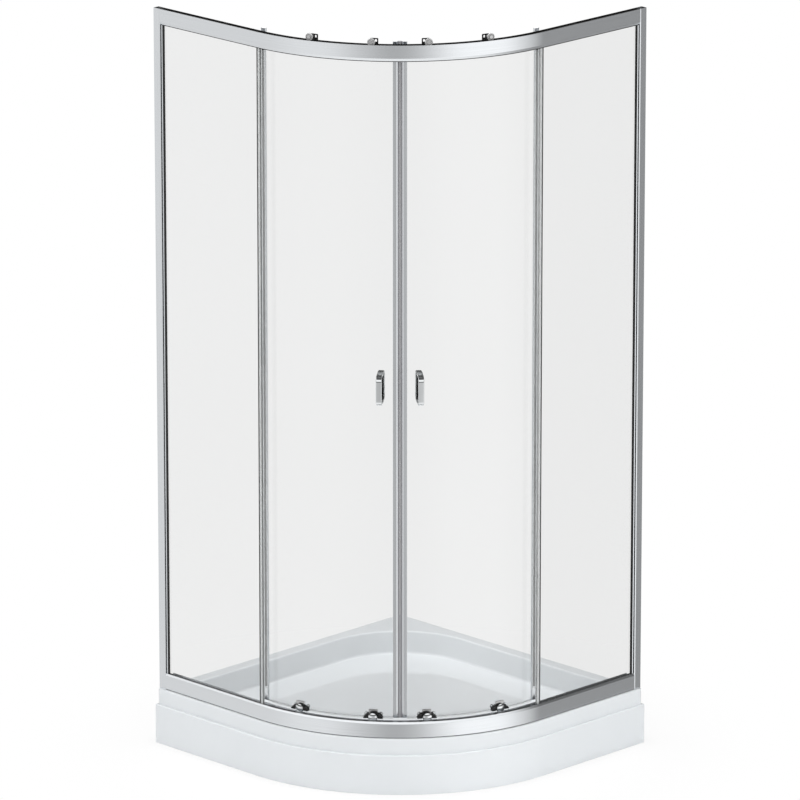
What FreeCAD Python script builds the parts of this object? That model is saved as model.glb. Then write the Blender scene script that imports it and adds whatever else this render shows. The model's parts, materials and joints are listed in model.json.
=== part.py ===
import FreeCAD, Part
import math
import os
from FreeCAD import Placement, Rotation, Vector

os.makedirs("parts", exist_ok=True)

# A quadrant shower enclosure for a room corner, in millimetres.
# Z is up and the origin is under the middle of the square footprint, on the floor.
# The walls stand at X = -half and Y = +half; the bent front faces +X and -Y.
# "Depth" is measured inwards from the outer face of the rails.

# Footprint and heights
wall_side = 900.0
apron_radius = 525.0
rim_height = 147.0
frame_height = 1817.0
apron_height = 105.0
band_inset = 7.5
frame_inset = 15.0

# Fits
seat_gap = 0.1
slip = 0.2
run_gap = 0.3
bearing_gap = 0.05
overrun = 5.0

# Tray
shell = 5.0
rim_wall_width = 36.0
rim_front_width = 52.0
basin_depth = 59.0
basin_draft = 14.0
floor_round = 9.0
rim_round = 6.0
back_corner_radius = 230.0
end_corner_radius = 60.0
round_steps = 4

# Apron and its clips
apron_thickness = 4.0
apron_flange = 18.0
clip_length = 30.0
clip_thickness = 3.0
clip_rise = 20.0
clip_places = (-330.0, 0.0, 330.0)

# Tray frame, feet and nuts
tube_size = 25.0
tube_wall = 2.0
cross_tube_from_back = 300.0
cross_tube_end_gaps = (90.0, 110.0)
side_tube_end_gaps = (110.0, 75.0)
left_tube_from_wall = 220.0
right_tube_from_front = 190.0
right_tube_from_apron = 98.0
foot_end_margin = 28.0
foot_pad_radius = 22.0
foot_pad_height = 7.0
stud_radius = 5.0
stud_reach = 12.0
nut_across_flats = 17.0
nut_height = 8.0

# Waste
waste_from_front = 229.0
waste_bore_radius = 45.0
waste_tube_radius = 44.5
waste_wall = 4.5
waste_lip_radius = 56.0
waste_lip = 2.5
waste_tube_length = 20.0
waste_shoulder = 6.0
cover_radius = 50.0
cover_thickness = 4.0
cover_lift = 6.0
cover_ring_wall = 2.5
cover_slot_width = 24.0
seal_thickness = 3.0
seal_radius = 53.0
trap_radius = 52.0
trap_wall = 3.5
trap_floor_height = 8.0
outlet_radius = 20.0
outlet_wall = 2.5
outlet_length = 70.0
outlet_height = 30.0
collar_radius = 24.0
collar_length = 10.0

# Rails
rail_height = 43.0
rail_depth = 18.0
rail_wall = 2.0
rail_lip = 1.5
groove_drop = 4.0
bevel_rise = 9.5
bevel_run = 5.0
sill_bevel_rise = 5.5
sill_bevel_run = 2.9
pocket_depth = 12.0
pocket_gap = 0.5
screw_web = 8.0
box_depth = 15.0
track_drop = 6.0
track_width = 15.0
track_lip = 2.0
track_lip_rise = 1.5

# Wall channels, side posts and gaskets
channel_face = 20.0
channel_bevel = 2.5
channel_bevel_drop = 1.5
channel_wall = 1.6
channel_depth = 18.0
fixing_hole_radius = 3.0
fixing_count = 4
fixing_end_margin = 68.5
post_start = 8.0
post_show = 3.5
post_front = 5.0
post_bevel_drop = 0.9
post_wall = 1.5
post_depth = 9.5
gasket_show = 7.0
gasket_back_show = 3.0
gasket_flange = 1.5
frame_screw_radius = 2.0
frame_screw_bite = 18.0
frame_screw_head_radius = 3.8
frame_screw_head = 2.5

# Fixed glass and its free edge
glass_thickness = 5.0
fixed_glass_depth = 7.0
fixed_edge_past_bend = 5.0
glass_in_post = 9.0
glass_top_gap = 2.0
edge_seal_width = 10.0
edge_seal_wall = 1.4
edge_fin_reach = 12.0
edge_fin_thickness = 1.2
fin_foot_clear = 40.0
fin_head_clear = 6.0

# Doors
door_depth = 34.0
door_foot_gap = 2.0
door_top_lap = 27.0
door_past_bend = 18.0
meeting_gap = 0.3
magnet_width = 5.7
magnet_wrap = 0.5
closing_stile_width = 12.0
trailing_stile_width = 15.0
stile_wrap = 1.5
stile_lap = 8.0
stile_top_rise = 3.0
trailing_fin_reach = 5.5
trailing_fin_inset = 3.0
trailing_fin_thickness = 1.5
drip_wall = 1.4
drip_leg = 3.0
drip_foot = 3.0
drip_fin_reach = 8.0
drip_fin_drop = 5.0

# Door pivot: the upright axis that keeps all four wheels in their tracks
pivot_back = 144.4
pivot_across = 76.4
door_turn = 22.5
wheel_spread = 3.6

# Top wheels and hangers
top_inner_place = 68.0
top_outer_place = 225.0
top_wheel_radius = 10.0
wheel_width = 4.0
wheel_web = 2.4
wheel_rim = 2.2
wheel_hub_radius = 4.6
spindle_radius = 2.5
shoulder_radius = 4.0
axle_head_radius = 4.4
axle_head = 1.4
hanger_thickness = 3.0
hanger_middle_side = 16.5
hanger_outer_side = 6.5
hanger_drop = 22.0
hanger_top_rise = 7.0
hanger_bolt_side = 5.0
hanger_bolt_drop = 11.0
bolt_radius = 3.0
glass_hole_radius = 4.0
top_cap_radius = 9.0
top_cap = 5.0
stop_length = 14.0
stop_rise = 9.0

# Bottom wheels, carriers and release slides
bottom_inner_place = 68.0
bottom_outer_place = 267.0
bottom_wheel_radius = 12.0
carrier_back = 1.7
carrier_lip = 1.5
carrier_half_width = 25.0
carrier_foot_gap = 1.0
carrier_height = 19.0
wing_reach = 4.0
wing_bolt_place = 19.0
bottom_cap_radius = 5.0
bottom_cap = 3.0
slide_thickness = 1.7
slide_half_width = 11.6
slide_window_half = 9.0
slide_tab_height = 4.0

# Handles
handle_place = 50.0
handle_middle_height = 1067.5
handle_height = 79.0
handle_width = 15.0
handle_reach = 38.0
handle_strap = 5.0
handle_bend = 17.5
rosette_radius = 8.0
rosette = 4.0
handle_screw_radius = 2.5
handle_screw_bite = 3.0

# Places worked out from the sizes above
half = wall_side / 2
quarter_turn = 90.0
diagonal_angle = -45.0
up = Vector(0, 0, 1)
mirror_normal = Vector(1, 1, 0)
centre = Vector(half - apron_radius, apron_radius - half, 0)
face_radius = apron_radius - frame_inset
face_y = frame_inset - half
floor_height = rim_height - basin_depth
frame_top = rim_height + frame_height
top_rail_foot = frame_top - rail_height
bottom_rail_top = rim_height + rail_height
groove_floor = frame_top - groove_drop
track_floor = bottom_rail_top - track_drop
channel_width = channel_face + channel_bevel
pocket_front = fixed_glass_depth - pocket_gap
pocket_back = fixed_glass_depth + glass_thickness + pocket_gap
top_track_mid = rail_depth / 2
bottom_track_mid = box_depth + track_width / 2
door_back = door_depth + glass_thickness
door_reach = (face_radius - door_depth) * math.radians(-diagonal_angle) + door_past_bend
door_foot = bottom_rail_top + door_foot_gap
door_head = top_rail_foot + door_top_lap
stile_top = frame_top + stile_top_rise


# Closed face through a list of points
def face_of(points):
    return Part.Face(Part.makePolygon(points + points[:1]))


# Box between two corners
def box(x0, x1, y0, y1, z0, z1):
    return Part.makeBox(x1 - x0, y1 - y0, z1 - z0, Vector(x0, y0, z0))


# Upright tube or rod
def upright(radius, z0, z1, x=0, y=0):
    return Part.makeCylinder(radius, z1 - z0, Vector(x, y, z0))


# The same piece on the other side of the diagonal
def mirrored(shape):
    return shape.mirror(Vector(0, 0, 0), mirror_normal)


def joined(shapes):
    return shapes[0].multiFuse(shapes[1:]).removeSplitter()


def group(shapes):
    return Part.makeCompound(shapes)


# Angle from the diagonal for a length measured along the front at a depth
def swing(length, depth):
    return math.degrees(length / (face_radius - depth))


# A (depth, height) section carried along flat, arc and flat, starting off the wall
def along_front(section, off_wall):
    start_x = off_wall - half
    flat = face_of([Vector(start_x, face_y + d, z) for d, z in section])
    flat = flat.extrude(Vector(centre.x - start_x, 0, 0))
    bend = face_of([Vector(centre.x, centre.y - face_radius + d, z) for d, z in section])
    bend = bend.revolve(centre, up, quarter_turn)
    return joined([flat, bend, mirrored(flat)])


# A (depth, height) section turned about the arc's centre, from the diagonal to the left
def ring(section, inner_angle, outer_angle):
    start = math.radians(diagonal_angle - outer_angle)
    ray = Vector(math.cos(start), math.sin(start), 0)
    points = [centre + ray * (face_radius - d) + up * z for d, z in section]
    return face_of(points).revolve(centre, up, outer_angle - inner_angle)


def ring_box(d0, d1, z0, z1, inner_angle, outer_angle):
    return ring([(d0, z0), (d1, z0), (d1, z1), (d0, z1)], inner_angle, outer_angle)


# Put a piece made at the face plane (X along the door, Y outwards) at its angle on the arc
def seated(shape, angle):
    turn = diagonal_angle - angle
    ray = Vector(math.cos(math.radians(turn)), math.sin(math.radians(turn)), 0)
    seat = Placement(centre + ray * face_radius, Rotation(up, turn - quarter_turn))
    placed = shape.copy()
    placed.Placement = seat.multiply(shape.Placement)
    return placed


# Box and rod in that face plane, with depths instead of Y
def slab(u0, u1, d0, d1, z0, z1):
    return box(u0, u1, -d1, -d0, z0, z1)


def rod(radius, d0, d1, z):
    return Part.makeCylinder(radius, d1 - d0, Vector(0, -d1, z), Vector(0, 1, 0))


# Tray

# Rounded outline of the basin, moved inwards by an offset
def basin_outline(offset, z):
    x0 = rim_wall_width + offset - half
    y1 = -x0
    y0 = band_inset + rim_front_width + offset - half
    x1 = -y0
    front = apron_radius - band_inset - rim_front_width - offset
    back = back_corner_radius - offset
    end = end_corner_radius - offset
    corners = (
        (centre.x, centre.y, front, -quarter_turn),
        (x1 - end, y1 - end, end, 0),
        (x0 + back, y1 - back, back, quarter_turn),
        (x0 + end, y0 + end, end, 2 * quarter_turn),
    )
    arcs = [
        Part.Circle(Vector(x, y, z), up, r).toShape(
            math.radians(a), math.radians(a + quarter_turn)
        )
        for x, y, r, a in corners
    ]
    edges = []
    for arc, following in zip(arcs, arcs[1:] + arcs[:1]):
        edges.append(arc)
        edges.append(Part.makeLine(arc.Vertexes[-1].Point, following.Vertexes[0].Point))
    return Part.Wire(edges)


def basin_solid(levels):
    return Part.makeLoft([basin_outline(offset, z) for offset, z in levels], True, True)


# Footprint with square ends at the walls
def footprint(front_inset, wall_inset, z0, z1):
    x0 = wall_inset - half
    y0 = front_inset - half
    start = Vector(x0, y0, z0)
    bend_start = Vector(centre.x, y0, z0)
    bend_end = Vector(-y0, centre.y, z0)
    finish = Vector(-y0, -x0, z0)
    radius = apron_radius - front_inset
    middle = centre + Vector(radius, -radius, 0) * math.cos(math.radians(diagonal_angle))
    edges = [
        Part.makeLine(start, bend_start),
        Part.Arc(bend_start, Vector(middle.x, middle.y, z0), bend_end).toShape(),
        Part.makeLine(bend_end, finish),
        Part.makeLine(finish, Vector(x0, -x0, z0)),
        Part.makeLine(Vector(x0, -x0, z0), start),
    ]
    return Part.Face(Part.Wire(edges)).extrude(Vector(0, 0, z1 - z0))


def make_tray():
    turns = [math.radians(quarter_turn * i / round_steps) for i in range(round_steps + 1)]
    low = [
        (basin_draft + floor_round * (1 - math.cos(t)), floor_height + floor_round * (1 - math.sin(t)))
        for t in reversed(turns)
    ]
    high = [
        (-rim_round * (1 - math.cos(t)), rim_height - rim_round * (1 - math.sin(t))) for t in turns
    ]
    hollow = basin_solid(low + high + [(-rim_round, rim_height + overrun)])
    under = [(offset - shell, z - shell) for offset, z in low] + [(-shell, rim_height)]
    skirt = footprint(band_inset, 0, apron_height, rim_height)
    skirt = skirt.cut(footprint(band_inset + shell, shell, apron_height - overrun, rim_height - shell))
    tray = joined([skirt, basin_solid(under)]).cut(hollow)
    return tray.cut(
        upright(waste_bore_radius, floor_height - shell - overrun, floor_height + overrun, *waste_place)
    )


def make_apron():
    outer = -frame_inset
    inner = outer + apron_thickness
    flange_foot = apron_height - apron_thickness
    section = [
        (outer, 0),
        (inner, 0),
        (inner, flange_foot),
        (outer + apron_flange, flange_foot),
        (outer + apron_flange, apron_height),
        (outer, apron_height),
    ]
    return along_front(section, 0)


# Each clip stands behind the band and hooks round the apron's flange
def make_apron_clips():
    band_back = band_inset + shell - frame_inset
    edge = apron_flange - frame_inset + slip
    flange_foot = apron_height - apron_thickness - slip
    section = [
        (band_back, apron_height),
        (edge, apron_height),
        (edge, flange_foot),
        (band_back, flange_foot),
        (band_back, flange_foot - clip_thickness),
        (edge + clip_thickness, flange_foot - clip_thickness),
        (edge + clip_thickness, apron_height + clip_thickness),
        (band_back + clip_thickness, apron_height + clip_thickness),
        (band_back + clip_thickness, apron_height + clip_rise),
        (band_back, apron_height + clip_rise),
    ]
    spread = swing(clip_length, 0) / 2
    return group(
        [ring(section, swing(p, 0) - spread, swing(p, 0) + spread) for p in clip_places]
    )


tube_top = floor_height - shell
tube_foot = tube_top - tube_size
cross_tube_y = half - cross_tube_from_back
cross_tube_ends = (cross_tube_end_gaps[0] - half, half - cross_tube_end_gaps[1])
left_tube_x = left_tube_from_wall - half
left_tube_ends = (side_tube_end_gaps[0] - half, half - side_tube_end_gaps[1])
right_tube_x = half - right_tube_from_front
right_tube_reach = math.sqrt(
    (apron_radius - right_tube_from_apron) ** 2 - (right_tube_x - centre.x) ** 2
)
right_tube_ends = (centre.y - right_tube_reach, half - side_tube_end_gaps[1])
foot_places = (
    (left_tube_x, left_tube_ends[0] + foot_end_margin),
    (left_tube_x, left_tube_ends[1] - foot_end_margin),
    (right_tube_x, right_tube_ends[0] + foot_end_margin),
    (right_tube_x, right_tube_ends[1] - foot_end_margin),
    ((left_tube_x + right_tube_x) / 2, cross_tube_y),
)


def make_tray_frame():
    def tubes(inset):
        reach = tube_size / 2 - inset
        z0 = tube_foot + inset
        z1 = tube_top - inset
        past = overrun if inset else 0
        lines = [
            box(x - reach, x + reach, ends[0] - past, ends[1] + past, z0, z1)
            for x, ends in ((left_tube_x, left_tube_ends), (right_tube_x, right_tube_ends))
        ]
        x0 = cross_tube_ends[0] - past
        x1 = cross_tube_ends[1] + past
        return joined(lines + [box(x0, x1, cross_tube_y - reach, cross_tube_y + reach, z0, z1)])

    frame = tubes(0).cut(tubes(tube_wall))
    holes = [
        upright(stud_radius + slip, tube_foot - overrun, tube_foot + tube_wall + overrun, x, y)
        for x, y in foot_places
    ]
    return frame.cut(group(holes))


def make_feet():
    return group([
        joined([
            upright(foot_pad_radius, 0, foot_pad_height, x, y),
            upright(stud_radius, 0, tube_foot + stud_reach, x, y),
        ])
        for x, y in foot_places
    ])


def make_foot_nuts():
    corner = nut_across_flats / 2 / math.cos(math.radians(quarter_turn / 3))
    sides = 6
    nuts = []
    for x, y in foot_places:
        points = [
            Vector(
                x + corner * math.cos(2 * math.pi * i / sides),
                y + corner * math.sin(2 * math.pi * i / sides),
                tube_foot - nut_height,
            )
            for i in range(sides)
        ]
        nut = face_of(points).extrude(Vector(0, 0, nut_height))
        bore = upright(stud_radius + seat_gap, tube_foot - nut_height - overrun, tube_foot + overrun, x, y)
        nuts.append(nut.cut(bore))
    return group(nuts)


# Waste
waste_reach = (apron_radius - waste_from_front) * math.cos(math.radians(diagonal_angle))
waste_place = (centre.x + waste_reach, centre.y - waste_reach)
waste_bore = waste_tube_radius - waste_wall
shoulder_top = floor_height - waste_tube_length + waste_shoulder
trap_top = tube_top - seal_thickness


def make_waste_flange():
    foot = floor_height - waste_tube_length
    lip_top = floor_height + waste_lip
    body = joined([
        upright(waste_lip_radius, floor_height, lip_top, *waste_place),
        upright(waste_tube_radius, foot, lip_top, *waste_place),
    ])
    body = body.cut(upright(waste_bore, shoulder_top, lip_top + overrun, *waste_place))
    throat = waste_bore - waste_shoulder
    return body.cut(upright(throat, foot - overrun, shoulder_top + overrun, *waste_place))


def make_waste_cover():
    cover_foot = floor_height + waste_lip + cover_lift
    ring_radius = waste_bore - run_gap
    cover = joined([
        upright(cover_radius, cover_foot, cover_foot + cover_thickness, *waste_place),
        upright(ring_radius, shoulder_top, cover_foot, *waste_place),
    ])
    cover = cover.cut(
        upright(ring_radius - cover_ring_wall, shoulder_top - overrun, cover_foot, *waste_place)
    )
    x, y = waste_place
    reach = cover_slot_width / 2
    for across, along in ((reach, cover_radius), (cover_radius, reach)):
        cover = cover.cut(
            box(x - across, x + across, y - along, y + along, floor_height, cover_foot)
        )
    return cover


def make_waste_seal():
    ring_shape = upright(seal_radius, trap_top, tube_top, *waste_place)
    return ring_shape.cut(
        upright(waste_tube_radius + slip, trap_top - overrun, tube_top + overrun, *waste_place)
    )


# Cup under the tray with a pipe end; a collar stops the pipe that is pushed on
def make_trap():
    x, y = waste_place
    outlet_start = Vector(x, y, outlet_height)
    length = trap_radius + outlet_length
    along = Vector(0, 1, 0)
    body = joined([
        upright(trap_radius, trap_floor_height, trap_top, x, y),
        Part.makeCylinder(outlet_radius, length, outlet_start, along),
        Part.makeCylinder(collar_radius, trap_radius + collar_length, outlet_start, along),
    ])
    body = body.cut(
        upright(trap_radius - trap_wall, trap_floor_height + trap_wall, trap_top + overrun, x, y)
    )
    return body.cut(
        Part.makeCylinder(outlet_radius - outlet_wall, length + overrun, outlet_start, along)
    )


# Rails
screw_height_top = top_rail_foot + (pocket_depth + rail_height - groove_drop) / 2
screw_height_bottom = rim_height + (rail_height - pocket_depth) / 2
rail_start = channel_width + slip


def rail_screw_holes(height):
    start = Vector(rail_start - half - overrun, face_y + top_track_mid, height)
    hole = Part.makeCylinder(
        frame_screw_radius + seat_gap, frame_screw_bite + overrun, start, Vector(1, 0, 0)
    )
    return group([hole, mirrored(hole)])


# Two chambers with a solid web between them for the corner screws
def chambers(d0, d1, z0, z1, web_middle):
    shapes = []
    for low, high in ((z0, web_middle - screw_web / 2), (web_middle + screw_web / 2, z1)):
        section = [(d0, low), (d1, low), (d1, high), (d0, high)]
        shapes.append(along_front(section, rail_start - overrun))
    return group(shapes)


def make_top_rail():
    foot = top_rail_foot
    section = [
        (0, foot + bevel_rise),
        (0, frame_top),
        (rail_lip, frame_top),
        (rail_lip, groove_floor),
        (rail_depth - rail_lip, groove_floor),
        (rail_depth - rail_lip, frame_top),
        (rail_depth, frame_top),
        (rail_depth, foot),
        (pocket_back, foot),
        (pocket_back, foot + pocket_depth),
        (pocket_front, foot + pocket_depth),
        (pocket_front, foot),
        (bevel_run, foot),
    ]
    rail = along_front(section, rail_start)
    hollow = chambers(
        rail_wall,
        rail_depth - rail_wall,
        foot + pocket_depth + rail_wall,
        groove_floor - rail_wall,
        screw_height_top,
    )
    return rail.cut(hollow).cut(rail_screw_holes(screw_height_top))


def make_bottom_rail():
    foot = rim_height
    head = bottom_rail_top
    track_back = box_depth + track_width
    section = [
        (0, foot),
        (0, head - sill_bevel_rise),
        (sill_bevel_run, head),
        (pocket_front, head),
        (pocket_front, head - pocket_depth),
        (pocket_back, head - pocket_depth),
        (pocket_back, head),
        (box_depth, head),
        (box_depth, track_floor),
        (track_back, track_floor),
        (track_back, track_floor + track_lip_rise),
        (track_back + track_lip, track_floor + track_lip_rise),
        (track_back + track_lip, foot),
    ]
    rail = along_front(section, rail_start)
    hollow = chambers(
        rail_wall,
        box_depth - rail_wall,
        foot + rail_wall,
        head - pocket_depth - rail_wall,
        screw_height_bottom,
    )
    under_track = [
        (box_depth, foot + rail_wall),
        (track_back, foot + rail_wall),
        (track_back, track_floor - rail_wall),
        (box_depth, track_floor - rail_wall),
    ]
    rail = rail.cut(hollow).cut(along_front(under_track, rail_start - overrun))
    return rail.cut(rail_screw_holes(screw_height_bottom))


# Side frames; the left ones are built, the right ones mirrored

# A (distance from the wall, depth) section standing between two heights
def standing(section, z0, z1):
    face = face_of([Vector(w - half, face_y + d, z0) for w, d in section])
    return face.extrude(Vector(0, 0, z1 - z0))


def make_wall_channel():
    bevel_end = channel_bevel_drop + channel_wall
    section = [
        (0, 0),
        (channel_face, 0),
        (channel_width, channel_bevel_drop),
        (channel_width, bevel_end),
        (channel_face, channel_wall),
        (channel_wall, channel_wall),
        (channel_wall, channel_depth - channel_wall),
        (channel_width, channel_depth - channel_wall),
        (channel_width, channel_depth),
        (0, channel_depth),
    ]
    channel = standing(section, rim_height, frame_top)
    spacing = (frame_height - 2 * fixing_end_margin) / (fixing_count - 1)
    length = channel_wall + 2 * overrun
    for place in range(fixing_count):
        z = rim_height + fixing_end_margin + place * spacing
        start = Vector(-half - overrun, face_y + channel_depth / 2, z)
        channel = channel.cut(
            Part.makeCylinder(fixing_hole_radius, length, start, Vector(1, 0, 0))
        )
    return channel


post_end = channel_width + post_show
post_back = post_front + post_depth
glass_start = post_end - glass_in_post
window_foot = bottom_rail_top + slip
window_head = top_rail_foot - slip


def make_side_post():
    hidden = [
        (post_start, post_front),
        (channel_width, post_front),
        (channel_width, post_back),
        (post_start, post_back),
    ]
    shown = [
        (channel_width, post_front),
        (post_end, post_front + post_bevel_drop),
        (post_end, post_back),
        (channel_width, post_back),
    ]
    pocket = [
        (glass_start - post_wall, pocket_front),
        (post_end + overrun, pocket_front),
        (post_end + overrun, pocket_back),
        (glass_start - post_wall, pocket_back),
    ]
    core = [
        (post_start + post_wall, post_front + post_wall),
        (glass_start - 2 * post_wall, post_front + post_wall),
        (glass_start - 2 * post_wall, post_back - post_wall),
        (post_start + post_wall, post_back - post_wall),
    ]
    post = joined([standing(hidden, rim_height, frame_top), standing(shown, window_foot, window_head)])
    post = post.cut(standing(pocket, fixed_foot - slip, fixed_head + slip))
    post = post.cut(standing(core, window_foot, window_head))
    for height in (screw_height_top, screw_height_bottom):
        start = Vector(post_start - half - overrun, face_y + top_track_mid, height)
        post = post.cut(
            Part.makeCylinder(
                frame_screw_radius + seat_gap, post_end - post_start + overrun, start, Vector(1, 0, 0)
            )
        )
    return post


def make_frame_screws():
    screws = []
    for height in (screw_height_top, screw_height_bottom):
        head_start = Vector(post_start - frame_screw_head - half, face_y + top_track_mid, height)
        length = frame_screw_head + rail_start + frame_screw_bite - post_start
        screw = joined([
            Part.makeCylinder(frame_screw_radius, length, head_start, Vector(1, 0, 0)),
            Part.makeCylinder(frame_screw_head_radius, frame_screw_head, head_start, Vector(1, 0, 0)),
        ])
        screws += [screw, mirrored(screw)]
    return group(screws)


fixed_back = fixed_glass_depth + glass_thickness
fixed_foot = bottom_rail_top - pocket_depth
fixed_head = top_rail_foot + pocket_depth - glass_top_gap
fixed_end = half + centre.x + fixed_edge_past_bend


def make_fixed_glass():
    section = [
        (glass_start, fixed_glass_depth),
        (fixed_end, fixed_glass_depth),
        (fixed_end, fixed_back),
        (glass_start, fixed_back),
    ]
    return standing(section, fixed_foot, fixed_head)


# U strip round the glass edge in the post; its front flange shows wider than the back one
def make_gasket():
    front = fixed_glass_depth - gasket_flange
    back = fixed_back + gasket_flange
    base = glass_start - post_wall
    mouth = post_end
    front_end = post_end + gasket_show
    back_end = post_end + gasket_back_show
    section = [
        (base, pocket_front),
        (mouth, pocket_front),
        (mouth, front),
        (front_end, front),
        (front_end, fixed_glass_depth),
        (glass_start, fixed_glass_depth),
        (glass_start, fixed_back),
        (back_end, fixed_back),
        (back_end, back),
        (mouth, back),
        (mouth, pocket_back),
        (base, pocket_back),
    ]
    return standing(section, window_foot, window_head)


# U strip on the glass panel's free edge, with a fin towards the door
def make_edge_seal():
    front = fixed_glass_depth - edge_seal_wall
    back = fixed_back + edge_seal_wall
    start = fixed_end - edge_seal_width
    end = fixed_end + edge_seal_wall
    clip = [
        (start, front),
        (end, front),
        (end, back),
        (start, back),
        (start, fixed_back),
        (fixed_end, fixed_back),
        (fixed_end, fixed_glass_depth),
        (start, fixed_glass_depth),
    ]
    fin = [
        (end - edge_fin_thickness, fixed_back),
        (end, fixed_back),
        (end, back + edge_fin_reach),
        (end - edge_fin_thickness, back + edge_fin_reach),
    ]
    seal = standing(clip, window_foot, window_head)
    return joined([seal, standing(fin, bottom_rail_top + fin_foot_clear, top_rail_foot - fin_head_clear)])


# Doors; the left one is built, the right one mirrored
magnet_start = swing(meeting_gap, door_depth)
closing_start = swing(meeting_gap + magnet_width, door_depth)
closing_end = swing(meeting_gap + magnet_width + closing_stile_width, door_depth)
trailing_start = swing(door_reach - trailing_stile_width, door_depth)
trailing_end = swing(door_reach, door_depth)
stile_front = door_depth - stile_wrap
stile_back = door_back + stile_wrap
handle_angle = swing(handle_place, door_depth)
leg_height = handle_height / 2 - handle_strap / 2

# Each wheel: place along the door, radius, height of its track, middle depth at rest
wheels = {
    "top_inner": (top_inner_place, top_wheel_radius, groove_floor, top_track_mid - wheel_spread),
    "top_outer": (top_outer_place, top_wheel_radius, groove_floor, top_track_mid + wheel_spread),
    "bottom_inner": (
        bottom_inner_place, bottom_wheel_radius, track_floor, bottom_track_mid - wheel_spread
    ),
    "bottom_outer": (
        bottom_outer_place, bottom_wheel_radius, track_floor, bottom_track_mid + wheel_spread
    ),
}
top_wheels = ("top_inner", "top_outer")
bottom_wheels = ("bottom_inner", "bottom_outer")


def wheel_angle(name):
    return swing(wheels[name][0], door_depth)


def wheel_height(name):
    return wheels[name][2] + wheels[name][1] + run_gap


# Wheel with a rim, a thinner web and a hub, turned about its axle
def make_wheel(name):
    radius = wheels[name][1]
    depth = wheels[name][3]
    height = wheel_height(name)
    rim = wheel_width / 2
    web = wheel_web / 2
    bore = spindle_radius + bearing_gap
    profile = [
        (bore, -rim),
        (wheel_hub_radius, -rim),
        (wheel_hub_radius, -web),
        (radius - wheel_rim, -web),
        (radius - wheel_rim, -rim),
        (radius, -rim),
        (radius, rim),
        (radius - wheel_rim, rim),
        (radius - wheel_rim, web),
        (wheel_hub_radius, web),
        (wheel_hub_radius, rim),
        (bore, rim),
    ]
    face = face_of([Vector(0, -depth + y, height + r) for r, y in profile])
    full_turn = 4 * quarter_turn
    wheel = face.revolve(Vector(0, -depth, height), Vector(0, 1, 0), full_turn)
    return seated(wheel, wheel_angle(name))


# Axle with a shoulder behind the wheel and a head in front of it
def axle(name, back_depth):
    depth = wheels[name][3]
    height = wheel_height(name)
    front = depth - wheel_width / 2 - run_gap
    back = depth + wheel_width / 2 + run_gap
    return [
        rod(axle_head_radius, front - axle_head, front, height),
        rod(spindle_radius, front, back, height),
        rod(shoulder_radius, back, back_depth, height),
    ]


hanger_back = door_depth - seat_gap
hanger_front = hanger_back - hanger_thickness
hanger_bolt_height = door_head - hanger_bolt_drop


# Each roller bolt: angle on the arc, height, depth where the shaft ends, cap radius and thickness
def roller_bolts():
    bolts = []
    for name in top_wheels:
        angle = wheel_angle(name) - swing(hanger_bolt_side, door_depth)
        bolts.append((angle, hanger_bolt_height, hanger_front, top_cap_radius, top_cap))
    for name in bottom_wheels:
        for u in (-wing_bolt_place, wing_bolt_place):
            angle = wheel_angle(name) + swing(u, door_depth)
            bolts.append((angle, carrier_bolt_height, carrier_front, bottom_cap_radius, bottom_cap))
    return bolts


def bolt_holes(radius):
    return group([
        seated(rod(radius, front - slip, door_back + overrun, height), angle)
        for angle, height, front, cap_radius, cap in roller_bolts()
    ])


def make_top_hangers():
    hangers = []
    for name in top_wheels:
        plate = slab(
            -hanger_middle_side,
            hanger_outer_side,
            hanger_front,
            hanger_back,
            door_head - hanger_drop,
            wheel_height(name) + hanger_top_rise,
        )
        past = (hanger_front - overrun, hanger_back + overrun)
        plate = plate.cut(rod(spindle_radius + seat_gap, *past, wheel_height(name)))
        hangers.append(seated(plate, wheel_angle(name)).cut(bolt_holes(bolt_radius + seat_gap)))
    return group(hangers)


# Each axle is riveted through its hanger
def make_top_axles():
    axles = []
    for name in top_wheels:
        height = wheel_height(name)
        tail = [
            rod(spindle_radius, hanger_front, hanger_back, height),
            rod(axle_head_radius, hanger_back, hanger_back + axle_head, height),
        ]
        axles.append(seated(joined(axle(name, hanger_front) + tail), wheel_angle(name)))
    return group(axles)


slide_back = door_depth - seat_gap - carrier_back - run_gap
slide_front = slide_back - slide_thickness
carrier_front = slide_front - run_gap - carrier_lip
carrier_foot = bottom_rail_top + carrier_foot_gap
carrier_top = carrier_foot + carrier_height
carrier_bolt_height = (carrier_foot + carrier_top) / 2


# Back plate, two wings and two lips that leave a channel for the release slide
def make_bottom_carriers():
    carriers = []
    for name in bottom_wheels:
        back = door_depth - seat_gap
        channel = slide_half_width + run_gap
        wing_start = bottom_wheel_radius + 2 * run_gap
        rise = (carrier_foot, carrier_top)
        wing_front = carrier_front - wing_reach
        block = joined([
            slab(-carrier_half_width, carrier_half_width, carrier_front, back, *rise),
            slab(-carrier_half_width, -wing_start, wing_front, back, *rise),
            slab(wing_start, carrier_half_width, wing_front, back, *rise),
        ])
        span = (carrier_foot - overrun, carrier_top + overrun)
        block = block.cut(slab(-channel, channel, slide_front - run_gap, slide_back + run_gap, *span))
        block = block.cut(
            slab(-slide_window_half, slide_window_half, carrier_front - overrun, slide_front, *span)
        )
        carriers.append(seated(block, wheel_angle(name)).cut(bolt_holes(bolt_radius + seat_gap)))
    return group(carriers)


# Plate in the carrier's channel, with the wheel's axle and a thumb tab that rests on the carrier
def make_release_slide(name):
    foot = carrier_foot - carrier_foot_gap
    tab_top = carrier_top + slide_tab_height
    plate = [
        slab(-slide_half_width, slide_half_width, slide_front, slide_back, foot, carrier_top),
        slab(-slide_half_width, slide_half_width, carrier_front, slide_back, carrier_top, tab_top),
    ]
    return seated(joined(plate + axle(name, slide_front)), wheel_angle(name))


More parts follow.
